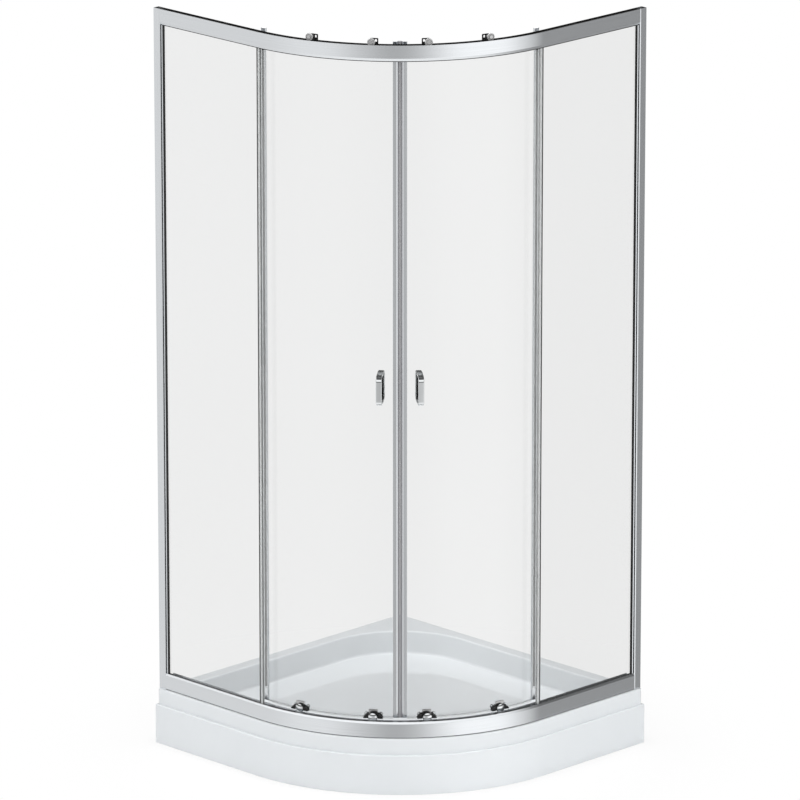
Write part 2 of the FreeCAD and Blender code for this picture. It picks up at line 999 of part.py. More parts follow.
# Bolts with round caps inside the glass; shafts screw into the hangers and carriers
def make_roller_bolts():
    solids = []
    cap_start = door_back + seat_gap
    for angle, height, front, cap_radius, cap in roller_bolts():
        bolt = joined([
            rod(bolt_radius, front + seat_gap, cap_start, height),
            rod(cap_radius, cap_start, cap_start + cap, height),
        ])
        solids.append(seated(bolt, angle))
    return group(solids)


def make_door_glass():
    inner = closing_end - swing(stile_lap, door_depth)
    outer = trailing_start + swing(stile_lap, door_depth)
    glass = ring_box(door_depth, door_back, door_foot, door_head, inner, outer)
    span = (door_depth - overrun, door_back + overrun)
    handle_holes = group([
        seated(rod(glass_hole_radius, *span, handle_middle_height + leg), handle_angle)
        for leg in (-leg_height, leg_height)
    ])
    return glass.cut(bolt_holes(glass_hole_radius)).cut(handle_holes)


# Edge profile with a slot for the glass on one side
def stile(start, end, slot_start, slot_end):
    body = ring_box(stile_front, stile_back, door_foot, stile_top, start, end)
    slot = ring_box(
        door_depth - slip,
        door_back + slip,
        door_foot - overrun,
        door_head + slip,
        slot_start,
        slot_end,
    )
    return body.cut(slot)


def make_closing_stile():
    slot_start = closing_end - swing(stile_lap + slip, door_depth)
    return stile(closing_start, closing_end, slot_start, closing_end + swing(overrun, door_depth))


def make_trailing_stile():
    slot_end = trailing_start + swing(stile_lap + slip, door_depth)
    return stile(trailing_start, trailing_end, trailing_start - swing(overrun, door_depth), slot_end)


def make_magnet_strip():
    front = stile_front + magnet_wrap
    back = stile_back - magnet_wrap
    return ring_box(front, back, door_foot, stile_top, magnet_start, closing_start)


# Lip on the outer face of the trailing stile, towards the fixed panel's fin
def make_trailing_seal():
    start = trailing_start + swing(trailing_fin_inset, door_depth)
    end = start + swing(trailing_fin_thickness, door_depth)
    return ring_box(
        stile_front - trailing_fin_reach,
        stile_front,
        bottom_rail_top + fin_foot_clear,
        top_rail_foot - fin_head_clear,
        start,
        end,
    )


# Strip under the glass with a leg on the inside and a fin that throws drips inwards
def make_bottom_seal():
    foot = door_foot - drip_foot
    head = door_foot - seat_gap
    leg = door_back + drip_wall
    section = [
        (door_depth, foot),
        (leg, foot),
        (leg + drip_fin_reach, foot - drip_fin_drop),
        (leg + drip_fin_reach, foot - drip_fin_drop + drip_wall),
        (leg, foot + drip_wall),
        (leg, head + drip_leg),
        (door_back + seat_gap, head + drip_leg),
        (door_back + seat_gap, head),
        (door_depth, head),
    ]
    return ring(section, closing_end + swing(slip, door_depth), trailing_start - swing(slip, door_depth))


# Bow handle: a bent strap on two round feet, outside or inside the glass
def make_handle(inside):
    def bow(inset):
        reach = handle_reach - inset
        rise = handle_height / 2 - inset
        wide = handle_width / 2 + (overrun if inset else 0)
        back = -overrun if inset else 0
        block = box(-wide, wide, back, reach, -rise, rise)
        edges = [
            e for e in block.Edges
            if abs(e.CenterOfMass.y - reach) < seat_gap and abs(e.CenterOfMass.z) > rise - seat_gap
        ]
        return block.makeFillet(handle_bend - inset, edges)

    handle = bow(0).cut(bow(handle_strap))
    for leg in (-leg_height, leg_height):
        foot = Part.makeCylinder(rosette_radius, rosette, Vector(0, 0, leg), Vector(0, 1, 0))
        hole = Part.makeCylinder(
            handle_screw_radius + seat_gap, handle_screw_bite + slip, Vector(0, 0, leg), Vector(0, 1, 0)
        )
        handle = joined([handle, foot]).cut(hole)
    if inside:
        handle.rotate(Vector(0, 0, 0), up, 2 * quarter_turn)
    depth = door_back + seat_gap if inside else door_depth - seat_gap
    handle.translate(Vector(0, -depth, handle_middle_height))
    return seated(handle, handle_angle)


def make_handle_screws():
    front = door_depth - handle_screw_bite
    back = door_back + handle_screw_bite
    return group([
        seated(rod(handle_screw_radius, front, back, handle_middle_height + leg), handle_angle)
        for leg in (-leg_height, leg_height)
    ])


# Rubber stop in the top rail's groove, where the outer wheel ends its travel
def make_door_stop():
    name = "top_outer"
    start = math.radians(diagonal_angle - wheel_angle(name))
    wheel = centre + Vector(math.cos(start), math.sin(start), 0) * (face_radius - wheels[name][3])
    across = math.cos(math.radians(diagonal_angle))
    pivot = centre + Vector(pivot_across - pivot_back, pivot_across + pivot_back, 0) * across
    end = pivot + Rotation(up, -door_turn).multVec(wheel - pivot)
    x1 = end.x - top_wheel_radius - run_gap
    y0 = face_y + rail_lip + slip
    y1 = face_y + rail_depth - rail_lip - slip
    return box(x1 - stop_length, x1, y0, y1, groove_floor, groove_floor + stop_rise)


nodes = {
    "shower_tray": make_tray(),
    "front_apron": make_apron(),
    "apron_clips": make_apron_clips(),
    "tray_frame": make_tray_frame(),
    "tray_feet": make_feet(),
    "foot_nuts": make_foot_nuts(),
    "waste_flange": make_waste_flange(),
    "waste_cover": make_waste_cover(),
    "waste_seal": make_waste_seal(),
    "waste_trap": make_trap(),
    "top_rail": make_top_rail(),
    "bottom_rail": make_bottom_rail(),
    "frame_screws": make_frame_screws(),
}
for name, shape in (
    ("glazing_gaskets", make_gasket()),
    ("panel_edge_seals", make_edge_seal()),
    ("door_stops", make_door_stop()),
):
    nodes[name] = group([shape, mirrored(shape)])

left_pieces = {
    "wall_channel": make_wall_channel(),
    "side_post": make_side_post(),
    "fixed_glass": make_fixed_glass(),
    "door_glass": make_door_glass(),
    "closing_stile": make_closing_stile(),
    "trailing_stile": make_trailing_stile(),
    "magnet_strip": make_magnet_strip(),
    "trailing_seal": make_trailing_seal(),
    "drip_seal": make_bottom_seal(),
    "top_hangers": make_top_hangers(),
    "top_axles": make_top_axles(),
    "bottom_carriers": make_bottom_carriers(),
    "roller_bolts": make_roller_bolts(),
    "outer_handle": make_handle(False),
    "inner_handle": make_handle(True),
    "handle_screws": make_handle_screws(),
}
for name in wheels:
    left_pieces[name + "_wheel"] = make_wheel(name)
for name in bottom_wheels:
    left_pieces[name + "_slide"] = make_release_slide(name)
for name, shape in left_pieces.items():
    nodes["left_" + name] = shape
    nodes["right_" + name] = mirrored(shape)

for name, shape in nodes.items():
    shape.exportStep("parts/" + name + ".step")
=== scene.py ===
import json
import math

import bmesh
import bpy
import numpy as np
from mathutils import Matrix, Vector


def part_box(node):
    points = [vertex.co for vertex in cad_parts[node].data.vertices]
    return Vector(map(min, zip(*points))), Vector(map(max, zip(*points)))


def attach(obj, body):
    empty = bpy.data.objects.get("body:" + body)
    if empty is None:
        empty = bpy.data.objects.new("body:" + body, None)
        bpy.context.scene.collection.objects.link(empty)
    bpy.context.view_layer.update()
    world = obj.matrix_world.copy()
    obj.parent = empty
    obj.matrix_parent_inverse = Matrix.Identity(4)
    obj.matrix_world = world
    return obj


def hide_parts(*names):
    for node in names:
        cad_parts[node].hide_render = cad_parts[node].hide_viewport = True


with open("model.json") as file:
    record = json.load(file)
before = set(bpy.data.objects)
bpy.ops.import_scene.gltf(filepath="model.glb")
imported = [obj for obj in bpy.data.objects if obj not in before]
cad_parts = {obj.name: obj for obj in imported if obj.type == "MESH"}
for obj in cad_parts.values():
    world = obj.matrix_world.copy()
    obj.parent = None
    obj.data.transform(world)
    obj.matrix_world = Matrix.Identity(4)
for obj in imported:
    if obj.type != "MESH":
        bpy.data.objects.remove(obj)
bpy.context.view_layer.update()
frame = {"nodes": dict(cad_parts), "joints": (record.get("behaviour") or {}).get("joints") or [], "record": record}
scene = bpy.context.scene
scene.view_settings.view_transform = "Standard"
mm = 0.001
sides = ("left", "right")

# the front runs flat, quarter arc, flat, the same on both sides of the diagonal
# depth is measured inwards from the rails' outer face, lengths along the doors from the diagonal
front = {
    "apronRadius": 525 * mm,
    "arcSteps": 72,
    "doorDepth": 34 * mm,
}
trayLow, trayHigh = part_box("shower_tray")
apronLow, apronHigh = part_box("front_apron")
railLow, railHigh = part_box("top_rail")
sillLow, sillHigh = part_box("bottom_rail")
halfSide = -trayLow.x
faceInset = railLow.y + halfSide
faceRadius = front["apronRadius"] - faceInset
doorRadius = faceRadius - front["doorDepth"]
bend = np.array([halfSide - front["apronRadius"], front["apronRadius"] - halfSide])
joints = {joint["name"]: joint for joint in frame["joints"]}

# for all new meshes; an axis that points up by more than uprightFrom counts as vertical
meshing = {"mergeGap": 0.001 * mm, "sharpAngle": 32, "uprightFrom": 0.9, "roundSteps": 4}


# polygon whose corners become arcs tangent to both sides: each arc swings from the first
# tangent point to the second about the point where the two offset sides meet
def rounded(corners, radius, steps=meshing["roundSteps"]):
    corner = np.asarray(corners, float)
    size = np.broadcast_to(np.asarray(radius, float), len(corner))[:, None]
    back = np.roll(corner, 1, 0) - corner
    ahead = np.roll(corner, -1, 0) - corner
    back /= np.linalg.norm(back, axis=1, keepdims=True)
    ahead /= np.linalg.norm(ahead, axis=1, keepdims=True)
    half = np.arccos(np.clip((back * ahead).sum(1), -1, 1))[:, None] / 2
    between = back + ahead
    between /= np.linalg.norm(between, axis=1, keepdims=True)
    middle = (corner + between * size / np.sin(half))[:, None]
    start = (corner + back * size / np.tan(half))[:, None] - middle
    end = (corner + ahead * size / np.tan(half))[:, None] - middle
    turn = (math.pi - 2 * half)[:, None]
    share = np.linspace(0, 1, steps + 1)[None, :, None]
    swung = (np.sin((1 - share) * turn) * start + np.sin(share * turn) * end) / np.sin(turn)
    return (middle + swung).reshape(-1, 2)


# stations along the whole front: points on the rails' face and the inward direction at each
def frontStations(offWall):
    angle = np.radians(np.linspace(-90, 0, front["arcSteps"] + 1))
    inward = -np.stack([np.cos(angle), np.sin(angle)], 1)
    inward = np.concatenate([inward[:1], inward, inward[-1:]])
    base = bend - faceRadius * inward
    base[0, 0] = offWall - halfSide
    base[-1, 1] = halfSide - offWall
    return base, inward


# stations along the left door, from one length off the diagonal to another
def doorStations(start, end, steps):
    angle = -math.pi / 4 - np.linspace(start, end, steps + 1) / doorRadius
    inward = -np.stack([np.cos(angle), np.sin(angle)], 1)
    return bend - faceRadius * inward, inward


# profile of (depth, height) points carried along stations: point = station + inward * depth
def carried(profile, stations):
    base, inward = stations
    flat = base[:, None] + inward[:, None] * profile[None, :, :1]
    height = np.broadcast_to(profile[None, :, 1:], flat.shape[:2] + (1,))
    return np.concatenate([flat, height], 2)


# outline of (x, y) points stood up between two heights
def raised(outline, low, high):
    flat = np.asarray(outline, float)
    level = np.broadcast_to(np.array([low, high])[:, None, None], (2, len(flat), 1))
    return np.concatenate([np.broadcast_to(flat, (2, len(flat), 2)), level], 2)


# outline of (along, depth) points on the left door's arc, stood up between two heights
def stood(outline, low, high):
    angle = -math.pi / 4 - outline[:, 0] / doorRadius
    reach = (faceRadius - outline[:, 1])[:, None]
    return raised(bend + reach * np.stack([np.cos(angle), np.sin(angle)], 1), low, high)


# points of (along, depth, height) measured square to the left door at one place on its arc
def seated(points, place):
    points = np.asarray(points, float)
    angle = -math.pi / 4 - place / doorRadius
    outward = np.array([math.cos(angle), math.sin(angle)])
    along = np.array([math.sin(angle), -math.cos(angle)])
    flat = bend + (faceRadius - points[..., 1:2]) * outward + points[..., :1] * along
    return np.concatenate([flat, points[..., 2:]], -1)


# outline of (along, height) points as a plate between two depths, square to the door at a place
def plated(outline, near, far, place):
    depth = np.broadcast_to(np.array([near, far])[:, None, None], (2, len(outline), 1))
    flat = np.broadcast_to(outline, (2, len(outline), 2))
    return seated(np.concatenate([flat[..., :1], depth, flat[..., 1:]], 2), place)


# profile of (radius, along) turned about an axis: circle of each radius at its length along it
def turned(profile, origin, axis, steps):
    profile = np.asarray(profile, float)
    axis = np.asarray(axis, float) / np.linalg.norm(axis)
    isUpright = abs(axis[2]) >= meshing["uprightFrom"]
    across = np.cross(axis, [1, 0, 0] if isUpright else [0, 0, 1])
    across /= np.linalg.norm(across)
    third = np.cross(axis, across)
    angle = np.linspace(0, 2 * math.pi, steps, endpoint=False)[:, None, None]
    ring = np.cos(angle) * across + np.sin(angle) * third
    return np.asarray(origin) + profile[None, :, :1] * ring + profile[None, :, 1:] * axis


# the right side is the left one mirrored in the diagonal: x and y change places and sign
def sided(points, side):
    if side == "left":
        return points
    return np.stack([-points[..., 1], -points[..., 0], points[..., 2]], -1)


# quads of a grid of points; columns close on themselves unless told, open rows get end caps
def skin(points, closeRows=False, closeColumns=True, paint=0, capPaint=(0, 0)):
    rows, columns = points.shape[:2]
    row = np.arange(rows if closeRows else rows - 1)[:, None]
    column = np.arange(columns if closeColumns else columns - 1)[None]
    nextRow, nextColumn = (row + 1) % rows, (column + 1) % columns
    quads = np.stack([
        row * columns + column,
        row * columns + nextColumn,
        nextRow * columns + nextColumn,
        nextRow * columns + column,
    ], -1)
    tints = np.broadcast_to(paint, quads.shape[:2]).ravel().tolist()
    ends = np.arange(columns)
    caps = [] if closeRows else [ends[::-1], ends + (rows - 1) * columns]
    return points.reshape(-1, 3), quads.reshape(-1, 4), caps, tints + list(capPaint[:len(caps)])


# merges skins into one closed mesh, turns its faces outwards and sets it on its body;
# a skin's paint numbers pick from the named coats
def makePiece(name, skins, body, coats, node):
    points, faces, tints, start = [], [], [], 0
    for skinPoints, quads, caps, skinTints in skins:
        points.append(skinPoints)
        faces += (quads + start).tolist() + [(cap + start).tolist() for cap in caps]
        tints += skinTints
        start += len(skinPoints)
    mesh = bpy.data.meshes.new(name)
    mesh.from_pydata(np.concatenate(points).tolist(), [], faces)
    mesh.polygons.foreach_set("material_index", tints)
    work = bmesh.new()
    work.from_mesh(mesh)
    bmesh.ops.remove_doubles(work, verts=work.verts, dist=meshing["mergeGap"])
    bmesh.ops.recalc_face_normals(work, faces=work.faces)
    work.to_mesh(mesh)
    work.free()
    for coat in coats:
        mesh.materials.append(finish[coat])
    mesh.shade_smooth()
    mesh.set_sharp_from_angle(angle=math.radians(meshing["sharpAngle"]))
    piece = bpy.data.objects.new(name, mesh)
    scene.collection.objects.link(piece)
    even = piece.modifiers.new("evenShading", "WEIGHTED_NORMAL")
    even.keep_sharp = True
    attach(piece, body)
    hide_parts(node)
    return piece


def addNode(tree, kind, **values):
    node = tree.nodes.new("ShaderNode" + kind)
    for key, value in values.items():
        setattr(node, key, value)
    return node


# sets a socket to a number, or links what another node puts out to it
def feed(tree, socket, value):
    if isinstance(value, (int, float)):
        socket.default_value = value
    else:
        tree.links.new(value, socket)


def maths(tree, operation, *values):
    node = addNode(tree, "Math", operation=operation)
    for socket, value in zip(node.inputs, values):
        feed(tree, socket, value)
    return node.outputs[0]


def remap(tree, value, low, high, toLow, toHigh, smooth=False):
    node = addNode(tree, "MapRange", interpolation_type="SMOOTHSTEP" if smooth else "LINEAR")
    keys = ("Value", "From Min", "From Max", "To Min", "To Max")
    for key, number in zip(keys, (value, low, high, toLow, toHigh)):
        feed(tree, node.inputs[key], number)
    return node.outputs["Result"]


# the noise of every finish; only the middle of its range, from span to span, is used
grains = {
    "toneDetail": 3.0,
    "fineDetail": 5.0,
    "span": (0.3, 0.7),
    "bumpDepth": 0.2 * mm,
    "even": (1, 1, 1),
    "alongRail": (4, 4, 900),
    "upright": (700, 700, 3),
}


# noise on the piece's own coordinates, drawn out along the way the surface was brushed
def grain(tree, scale, stretch, detail):
    place = addNode(tree, "TexCoord").outputs["Object"]
    mapping = addNode(tree, "Mapping")
    mapping.inputs["Scale"].default_value = stretch
    tree.links.new(place, mapping.inputs["Vector"])
    noise = addNode(tree, "TexNoise")
    noise.inputs["Scale"].default_value = scale
    noise.inputs["Detail"].default_value = detail
    tree.links.new(mapping.outputs["Vector"], noise.inputs["Vector"])
    return noise.outputs["Fac"]


def blendColours(tree, factor, dark, light):
    ramp = addNode(tree, "ValToRGB")
    for element, place, colour in zip(ramp.color_ramp.elements, grains["span"], (dark, light)):
        element.position = place
        element.color = (*colour, 1)
    tree.links.new(factor, ramp.inputs["Fac"])
    return ramp.outputs["Color"]


# one finish: two close tones, a roughness band and a bump, each from its own grain
def makeFinish(name, dark, light, rough, toneScale, fineScale, stretch="even", bump=0.02, **sockets):
    material = bpy.data.materials.new(name)
    material.use_nodes = True
    tree = material.node_tree
    shader = tree.nodes["Principled BSDF"]
    tone = grain(tree, toneScale, grains[stretch], grains["toneDetail"])
    fine = grain(tree, fineScale, grains[stretch], grains["fineDetail"])
    tree.links.new(blendColours(tree, tone, dark, light), shader.inputs["Base Color"])
    tree.links.new(remap(tree, fine, *grains["span"], *rough), shader.inputs["Roughness"])
    relief = addNode(tree, "Bump")
    relief.inputs["Strength"].default_value = bump
    relief.inputs["Distance"].default_value = grains["bumpDepth"]
    tree.links.new(fine, relief.inputs["Height"])
    tree.links.new(relief.outputs["Normal"], shader.inputs["Normal"])
    for key, value in sockets.items():
        shader.inputs[key.replace("_", " ")].default_value = value
    return material


def grey(level):
    return (level, level, level)


satin = {
    "dark": (0.78, 0.802, 0.824),
    "light": (0.826, 0.85, 0.873),
    "rough": (0.17, 0.25),
    "toneScale": 1,
    "fineScale": 2.5,
    "Metallic": 1.0,
}
finish = {
    "acrylic": makeFinish(
        "whiteAcrylic", dark=(0.775, 0.803, 0.824), light=(0.812, 0.84, 0.86), rough=(0.05, 0.09),
        toneScale=3, fineScale=260, bump=0.03, Specular_IOR_Level=0.45),
    "rail": makeFinish("satinAluminiumRail", stretch="alongRail", **satin),
    "upright": makeFinish("satinAluminiumUpright", stretch="upright", **satin),
    # painted shade: a near-black coat for the head rail's groove and lower lip and the sill rail's seam, which are
    # dark only from shade
    "track": makeFinish(
        "paintedShadeBlack", dark=grey(0.006), light=grey(0.012), rough=(0.45, 0.6),
        toneScale=40, fineScale=900, bump=0.1),
    "chrome": makeFinish(
        "polishedChrome", dark=(0.76, 0.78, 0.79), light=(0.82, 0.84, 0.85), rough=(0.03, 0.08),
        toneScale=30, fineScale=240, bump=0.01, Metallic=1.0),
    "glass": makeFinish(
        "clearGlass", dark=(0.848, 0.851, 0.850), light=(0.858, 0.861, 0.860), rough=(0.0, 0.012),
        toneScale=1.5, fineScale=6, bump=0.0, Transmission_Weight=1.0, IOR=1.45),
    # painted shade: an opaque near-black coat for the fixed panes' free ends, standing for the dark look of a
    # glass edge
    "paintedDarkGlassEdge": makeFinish(
        "paintedShadeGlassEdge", dark=(0.010, 0.014, 0.013), light=(0.020, 0.026, 0.024), rough=(0.12, 0.2),
        toneScale=40, fineScale=500),
    # painted shade: a near-black coat for a strip down the inside faces of the bow handles
    "paintedShadeStrip": makeFinish(
        "paintedShadeStrip", dark=grey(0.010), light=grey(0.022), rough=(0.35, 0.5),
        toneScale=90, fineScale=700, bump=0.08, Metallic=0.6),
    # real black rubber, and also the near-black of the edge strips' lip, which is painted shade
    "rubber": makeFinish(
        "blackRubber", dark=grey(0.004), light=grey(0.010), rough=(0.5, 0.68),
        toneScale=60, fineScale=900, bump=0.15),
    "seal": makeFinish(
        "clearSeal", dark=(0.76, 0.78, 0.78), light=(0.84, 0.86, 0.86), rough=(0.15, 0.3),
        toneScale=40, fineScale=600, Alpha=0.22),
    "blackPlastic": makeFinish(
        "blackPlastic", dark=grey(0.010), light=grey(0.018), rough=(0.3, 0.42),
        toneScale=80, fineScale=1400, bump=0.06),
    "magnet": makeFinish(
        "magnetGrey", dark=(0.23, 0.23, 0.245), light=(0.29, 0.29, 0.305), rough=(0.4, 0.55),
        toneScale=1, fineScale=2.5, stretch="upright", bump=0.05),
    "endCap": makeFinish(
        "nylonEndCap", dark=grey(0.78), light=grey(0.82), rough=(0.3, 0.42),
        toneScale=90, fineScale=1200, bump=0.05),
    "wheel": makeFinish(
        "greyWheelPlastic", dark=grey(0.42), light=grey(0.50), rough=(0.32, 0.45),
        toneScale=120, fineScale=1500, bump=0.06),
    "steel": makeFinish(
        "axleSteel", dark=grey(0.50), light=grey(0.60), rough=(0.2, 0.34),
        toneScale=90, fineScale=800, Metallic=1.0),
    "zinc": makeFinish(
        "galvanisedSteel", dark=(0.40, 0.41, 0.43), light=(0.66, 0.67, 0.69), rough=(0.28, 0.5),
        toneScale=70, fineScale=160, bump=0.05, Metallic=1.0),
    "foot": makeFinish(
        "footSteel", dark=grey(0.32), light=grey(0.44), rough=(0.25, 0.42),
        toneScale=60, fineScale=700, bump=0.05, Metallic=1.0),
    "trap": makeFinish(
        "trapPlastic", dark=grey(0.62), light=grey(0.68), rough=(0.35, 0.5),
        toneScale=30, fineScale=900, bump=0.05),
}
slotFinish = {
    "white_acrylic": "acrylic",
    "satin_aluminium": "upright",
    "clear_glass": "glass",
    "polished_chrome": "chrome",
    "black_rubber": "rubber",
    "clear_seal": "seal",
    "magnet_grey": "magnet",
    "wheel_plastic": "wheel",
    "black_plastic": "blackPlastic",
    "axle_steel": "steel",
    "galvanised_steel": "zinc",
    "foot_steel": "foot",
    "trap_plastic": "trap",
}
print("finishes made:", len(finish))

# CAD nodes that stay in view take the finish of their record slot
for row in frame["record"]["subparts"]:
    mesh = frame["nodes"][row["node"]].data
    mesh.materials.clear()
    mesh.materials.append(finish[slotFinish[row["material_slot"]]])


tray = {
    "rimWall": 36 * mm,
    "rimFront": 59.5 * mm,
    "band": 7.5 * mm,
    "shell": 5 * mm,
    "floor": 88 * mm,
    "fall": 0.5 * mm,
    "draft": 14 * mm,
    "rimRound": 6 * mm,
    "floorRound": 9 * mm,
    "edgeRound": 2.5 * mm,
    "footRound": 0.5 * mm,
    "underRound": 2 * mm,
    "insideRound": 1 * mm,
    "floorStrip": 42 * mm,
    "outerCorner": 8 * mm,
    "backCorner": 230 * mm,
    "endCorner": 60 * mm,
    "wasteRadius": 45 * mm,
    "sectionSteps": 5,
    "frontSteps": 64,
    "endSteps": 10,
    "backSteps": 28,
    "floorRings": 20,
}


# closed outlines round the tray, one row for each level: quarter arcs at the front, right end,
# back and left end, joined by straight sides, all inset by the level's own amounts
def trayOutlines(wallIn, frontIn, back, end):
    low, high = -halfSide + frontIn, halfSide - wallIn
    ones = np.ones_like(low)
    quarters = (
        (bend[0] * ones, bend[1] * ones, front["apronRadius"] - frontIn, -90, tray["frontSteps"]),
        (-low - end, high - end, end, 0, tray["endSteps"]),
        (-high + back, high - back, back, 90, tray["backSteps"]),
        (-high + end, low + end, end, 180, tray["endSteps"]),
    )
    arcs = []
    for x, y, radius, start, steps in quarters:
        angle = np.radians(np.linspace(start, start + 90, steps + 1))[None]
        arcs.append(np.stack([
            x[:, None] + radius[:, None] * np.cos(angle),
            y[:, None] + radius[:, None] * np.sin(angle),
        ], -1))
    return np.concatenate(arcs, 1)


# section of the shell as insets and heights: skirt, rim, basin wall and floor, then back underneath
def traySection(rimWidth, outer):
    bottom, rim, wall = trayLow.z, trayHigh.z, tray["shell"]
    floor = tray["floor"] + tray["fall"]
    rounds = [
        tray["footRound"], tray["edgeRound"], tray["rimRound"], tray["floorRound"], 0, 0,
        tray["floorRound"], tray["underRound"], tray["insideRound"], tray["footRound"],
    ]
    return rounded([
        (outer, bottom),
        (outer, rim),
        (rimWidth, rim),
        (rimWidth + tray["draft"], floor),
        (rimWidth + tray["floorStrip"], floor),
        (rimWidth + tray["floorStrip"], floor - wall),
        (rimWidth + tray["draft"] - wall, floor - wall),
        (rimWidth - wall, rim - wall),
        (outer + wall, rim - wall),
        (outer + wall, bottom),
    ], rounds, tray["sectionSteps"])


# the section carried round the outlines, opened at the floor strip's end for the falling floor
def makeTray():
    perCorner = tray["sectionSteps"] + 1
    stripEnd = 4  # the corner of the section where the falling floor takes over
    wallIn, height = traySection(tray["rimWall"], 0.0).T
    frontIn = traySection(tray["rimFront"], tray["band"])[:, 0]
    basin = np.repeat([0, 0, 1, 1, 1, 1, 1, 1, 0, 0], perCorner)  # corners with the basin's rounder plan
    back = np.where(basin, tray["backCorner"] + tray["rimWall"], tray["outerCorner"]) - wallIn
    end = np.where(basin, tray["endCorner"] + tray["rimWall"], tray["outerCorner"]) - wallIn
    outline = trayOutlines(wallIn, frontIn, back, end)
    # the floor runs from its edge to the waste in rings that shrink towards the waste's circle
    edge = outline[stripEnd * perCorner]
    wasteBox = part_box("waste_flange")
    middle = np.array([(wasteBox[0].x + wasteBox[1].x) / 2, (wasteBox[0].y + wasteBox[1].y) / 2])
    ray = edge - middle
    ray /= np.linalg.norm(ray, axis=1, keepdims=True)
    share = np.linspace(0, 1, tray["floorRings"] + 1)[:, None, None]
    rings = (1 - share) * edge + share * (middle + tray["wasteRadius"] * ray)
    ringHeight = tray["floor"] + tray["fall"] - tray["fall"] * share[:, 0, 0]
    cut = (stripEnd + 1) * perCorner
    loops = np.concatenate([outline[:cut], rings, rings[::-1], outline[cut:]])
    levels = np.concatenate([height[:cut], ringHeight, ringHeight[::-1] - tray["shell"], height[cut:]])
    heights = np.broadcast_to(levels[:, None, None], loops.shape[:2] + (1,))
    points = np.concatenate([loops, heights], 2)
    makePiece("tray_shell", [skin(points, closeRows=True)], "enclosure", ["acrylic"],
              "shower_tray")


apron = {
    "thickness": 4 * mm,
    "flange": 18 * mm,
    "topRound": 3.2 * mm,
    "edgeRound": 0.8 * mm,
    "insideRound": 2 * mm,
    "roundSteps": 5,
}


# the apron's section, a panel with a flange turned in at its top, carried along the front
def makeApron():
    face, top, bottom = -faceInset, apronHigh.z, apronLow.z
    inside, under, back = face + apron["thickness"], top - apron["thickness"], face + apron["flange"]
    profile = rounded(
        [(face, bottom), (face, top), (back, top), (back, under), (inside, under), (inside, bottom)],
        [apron["edgeRound"], apron["topRound"], 0, 0, apron["insideRound"], apron["edgeRound"]],
        apron["roundSteps"])
    points = carried(profile, frontStations(apronLow.x + halfSide))
    makePiece("apron_panel", [skin(points)], "enclosure", ["acrylic"], "front_apron")


makeTray()
makeApron()
print("tray and apron made")

rail = {
    "lip": 1.5 * mm,
    "groove": 4 * mm,
    "bevelRise": 9.5 * mm,
    "bevelRun": 5 * mm,
    "sillBevelRise": 5.5 * mm,
    "sillBevelRun": 2.9 * mm,
    "bevelRound": 1.5 * mm,
    "topRound": 0.7 * mm,
    "wall": 1.5 * mm,
    "pocket": 6 * mm,
    "pocketDeep": 12 * mm,
    "boxDepth": 15 * mm,
    "trackDrop": 6 * mm,
    "trackLip": 2 * mm,
    "trackLipRise": 1.5 * mm,
    "edge": 0.3 * mm,
    "depth": 18 * mm,
    "seam": 1.6 * mm,
    "seamDeep": 1 * mm,
    "lowerLip": 2.2 * mm,
    "roundSteps": 3,
}
pocketNear = rail["bevelRun"] + rail["wall"]
pocketFar = pocketNear + rail["pocket"]
perRailCorner = rail["roundSteps"] + 1


# head rail's section as (depth, height) carried along the front: bevelled face, groove, glass pocket
def makeHeadRail():
    deep, top, bottom = rail["depth"], railHigh.z, railLow.z
    groove, roof = top - rail["groove"], bottom + rail["pocketDeep"]
    lipIn = rail["bevelRun"] * rail["lowerLip"] / rail["bevelRise"] - rail["edge"]
    head = rounded([
        (0, bottom + rail["bevelRise"]), (0, top), (rail["lip"], top), (rail["lip"], groove),
        (deep - rail["lip"], groove), (deep - rail["lip"], top), (deep, top), (deep, bottom),
        (pocketFar, bottom), (pocketFar, roof), (pocketNear, roof), (pocketNear, bottom),
        (rail["bevelRun"], bottom), (rail["bevelRun"] - lipIn, bottom + rail["lowerLip"]),
    ], [rail["bevelRound"], rail["topRound"]] + [rail["edge"]] * 12, rail["roundSteps"])
    # painted shade: the groove between the lips and the lower lip under the bevel take the near-black coat in
    # place of their shade
    dark = np.zeros(len(head), int)
    dark[2 * perRailCorner - 1:6 * perRailCorner + 1] = 1  # the groove between its two lips
    dark[13 * perRailCorner - 2:14 * perRailCorner - 2] = 1  # the lower lip
    points = carried(head, frontStations(railLow.x + halfSide))
    makePiece("head_rail", [skin(points, paint=dark)], "enclosure", ["rail", "track"],
              "top_rail")


# sill rail's section as (depth, height) carried along the front: face, glass pocket, track, far lip
def makeSillRail():
    bottom, top = sillLow.z, sillHigh.z
    seam, pocketFloor = bottom + rail["seam"], top - rail["pocketDeep"]
    track = top - rail["trackDrop"]
    lipTop = track + rail["trackLipRise"]
    farWall = rail["boxDepth"] * 2 + rail["trackLip"]
    sill = rounded([
        (rail["seamDeep"], bottom), (rail["seamDeep"], seam), (0, seam), (0, top - rail["sillBevelRise"]),
        (rail["sillBevelRun"], top), (pocketNear, top), (pocketNear, pocketFloor),
        (pocketFar, pocketFloor), (pocketFar, top), (rail["boxDepth"], top), (rail["boxDepth"], track),
        (farWall - rail["trackLip"], track), (farWall - rail["trackLip"], lipTop), (farWall, lipTop),
        (farWall, bottom),
    ], [rail["edge"]] * 3 + [rail["bevelRound"]] + [rail["edge"]] * 11, rail["roundSteps"])
    # painted shade: the seam recessed under the face takes the near-black coat in place of its shade
    dark = np.zeros(len(sill), int)
    dark[:3 * perRailCorner - 2] = 1  # the seam under the face
    points = carried(sill, frontStations(sillLow.x + halfSide))
    makePiece("sill_rail", [skin(points, paint=dark)], "enclosure", ["rail", "track"],
              "bottom_rail")


makeHeadRail()
makeSillRail()

doorStop = {"length": 14 * mm, "depth": 14.6 * mm, "sink": 0.3 * mm, "corner": 1.5 * mm}


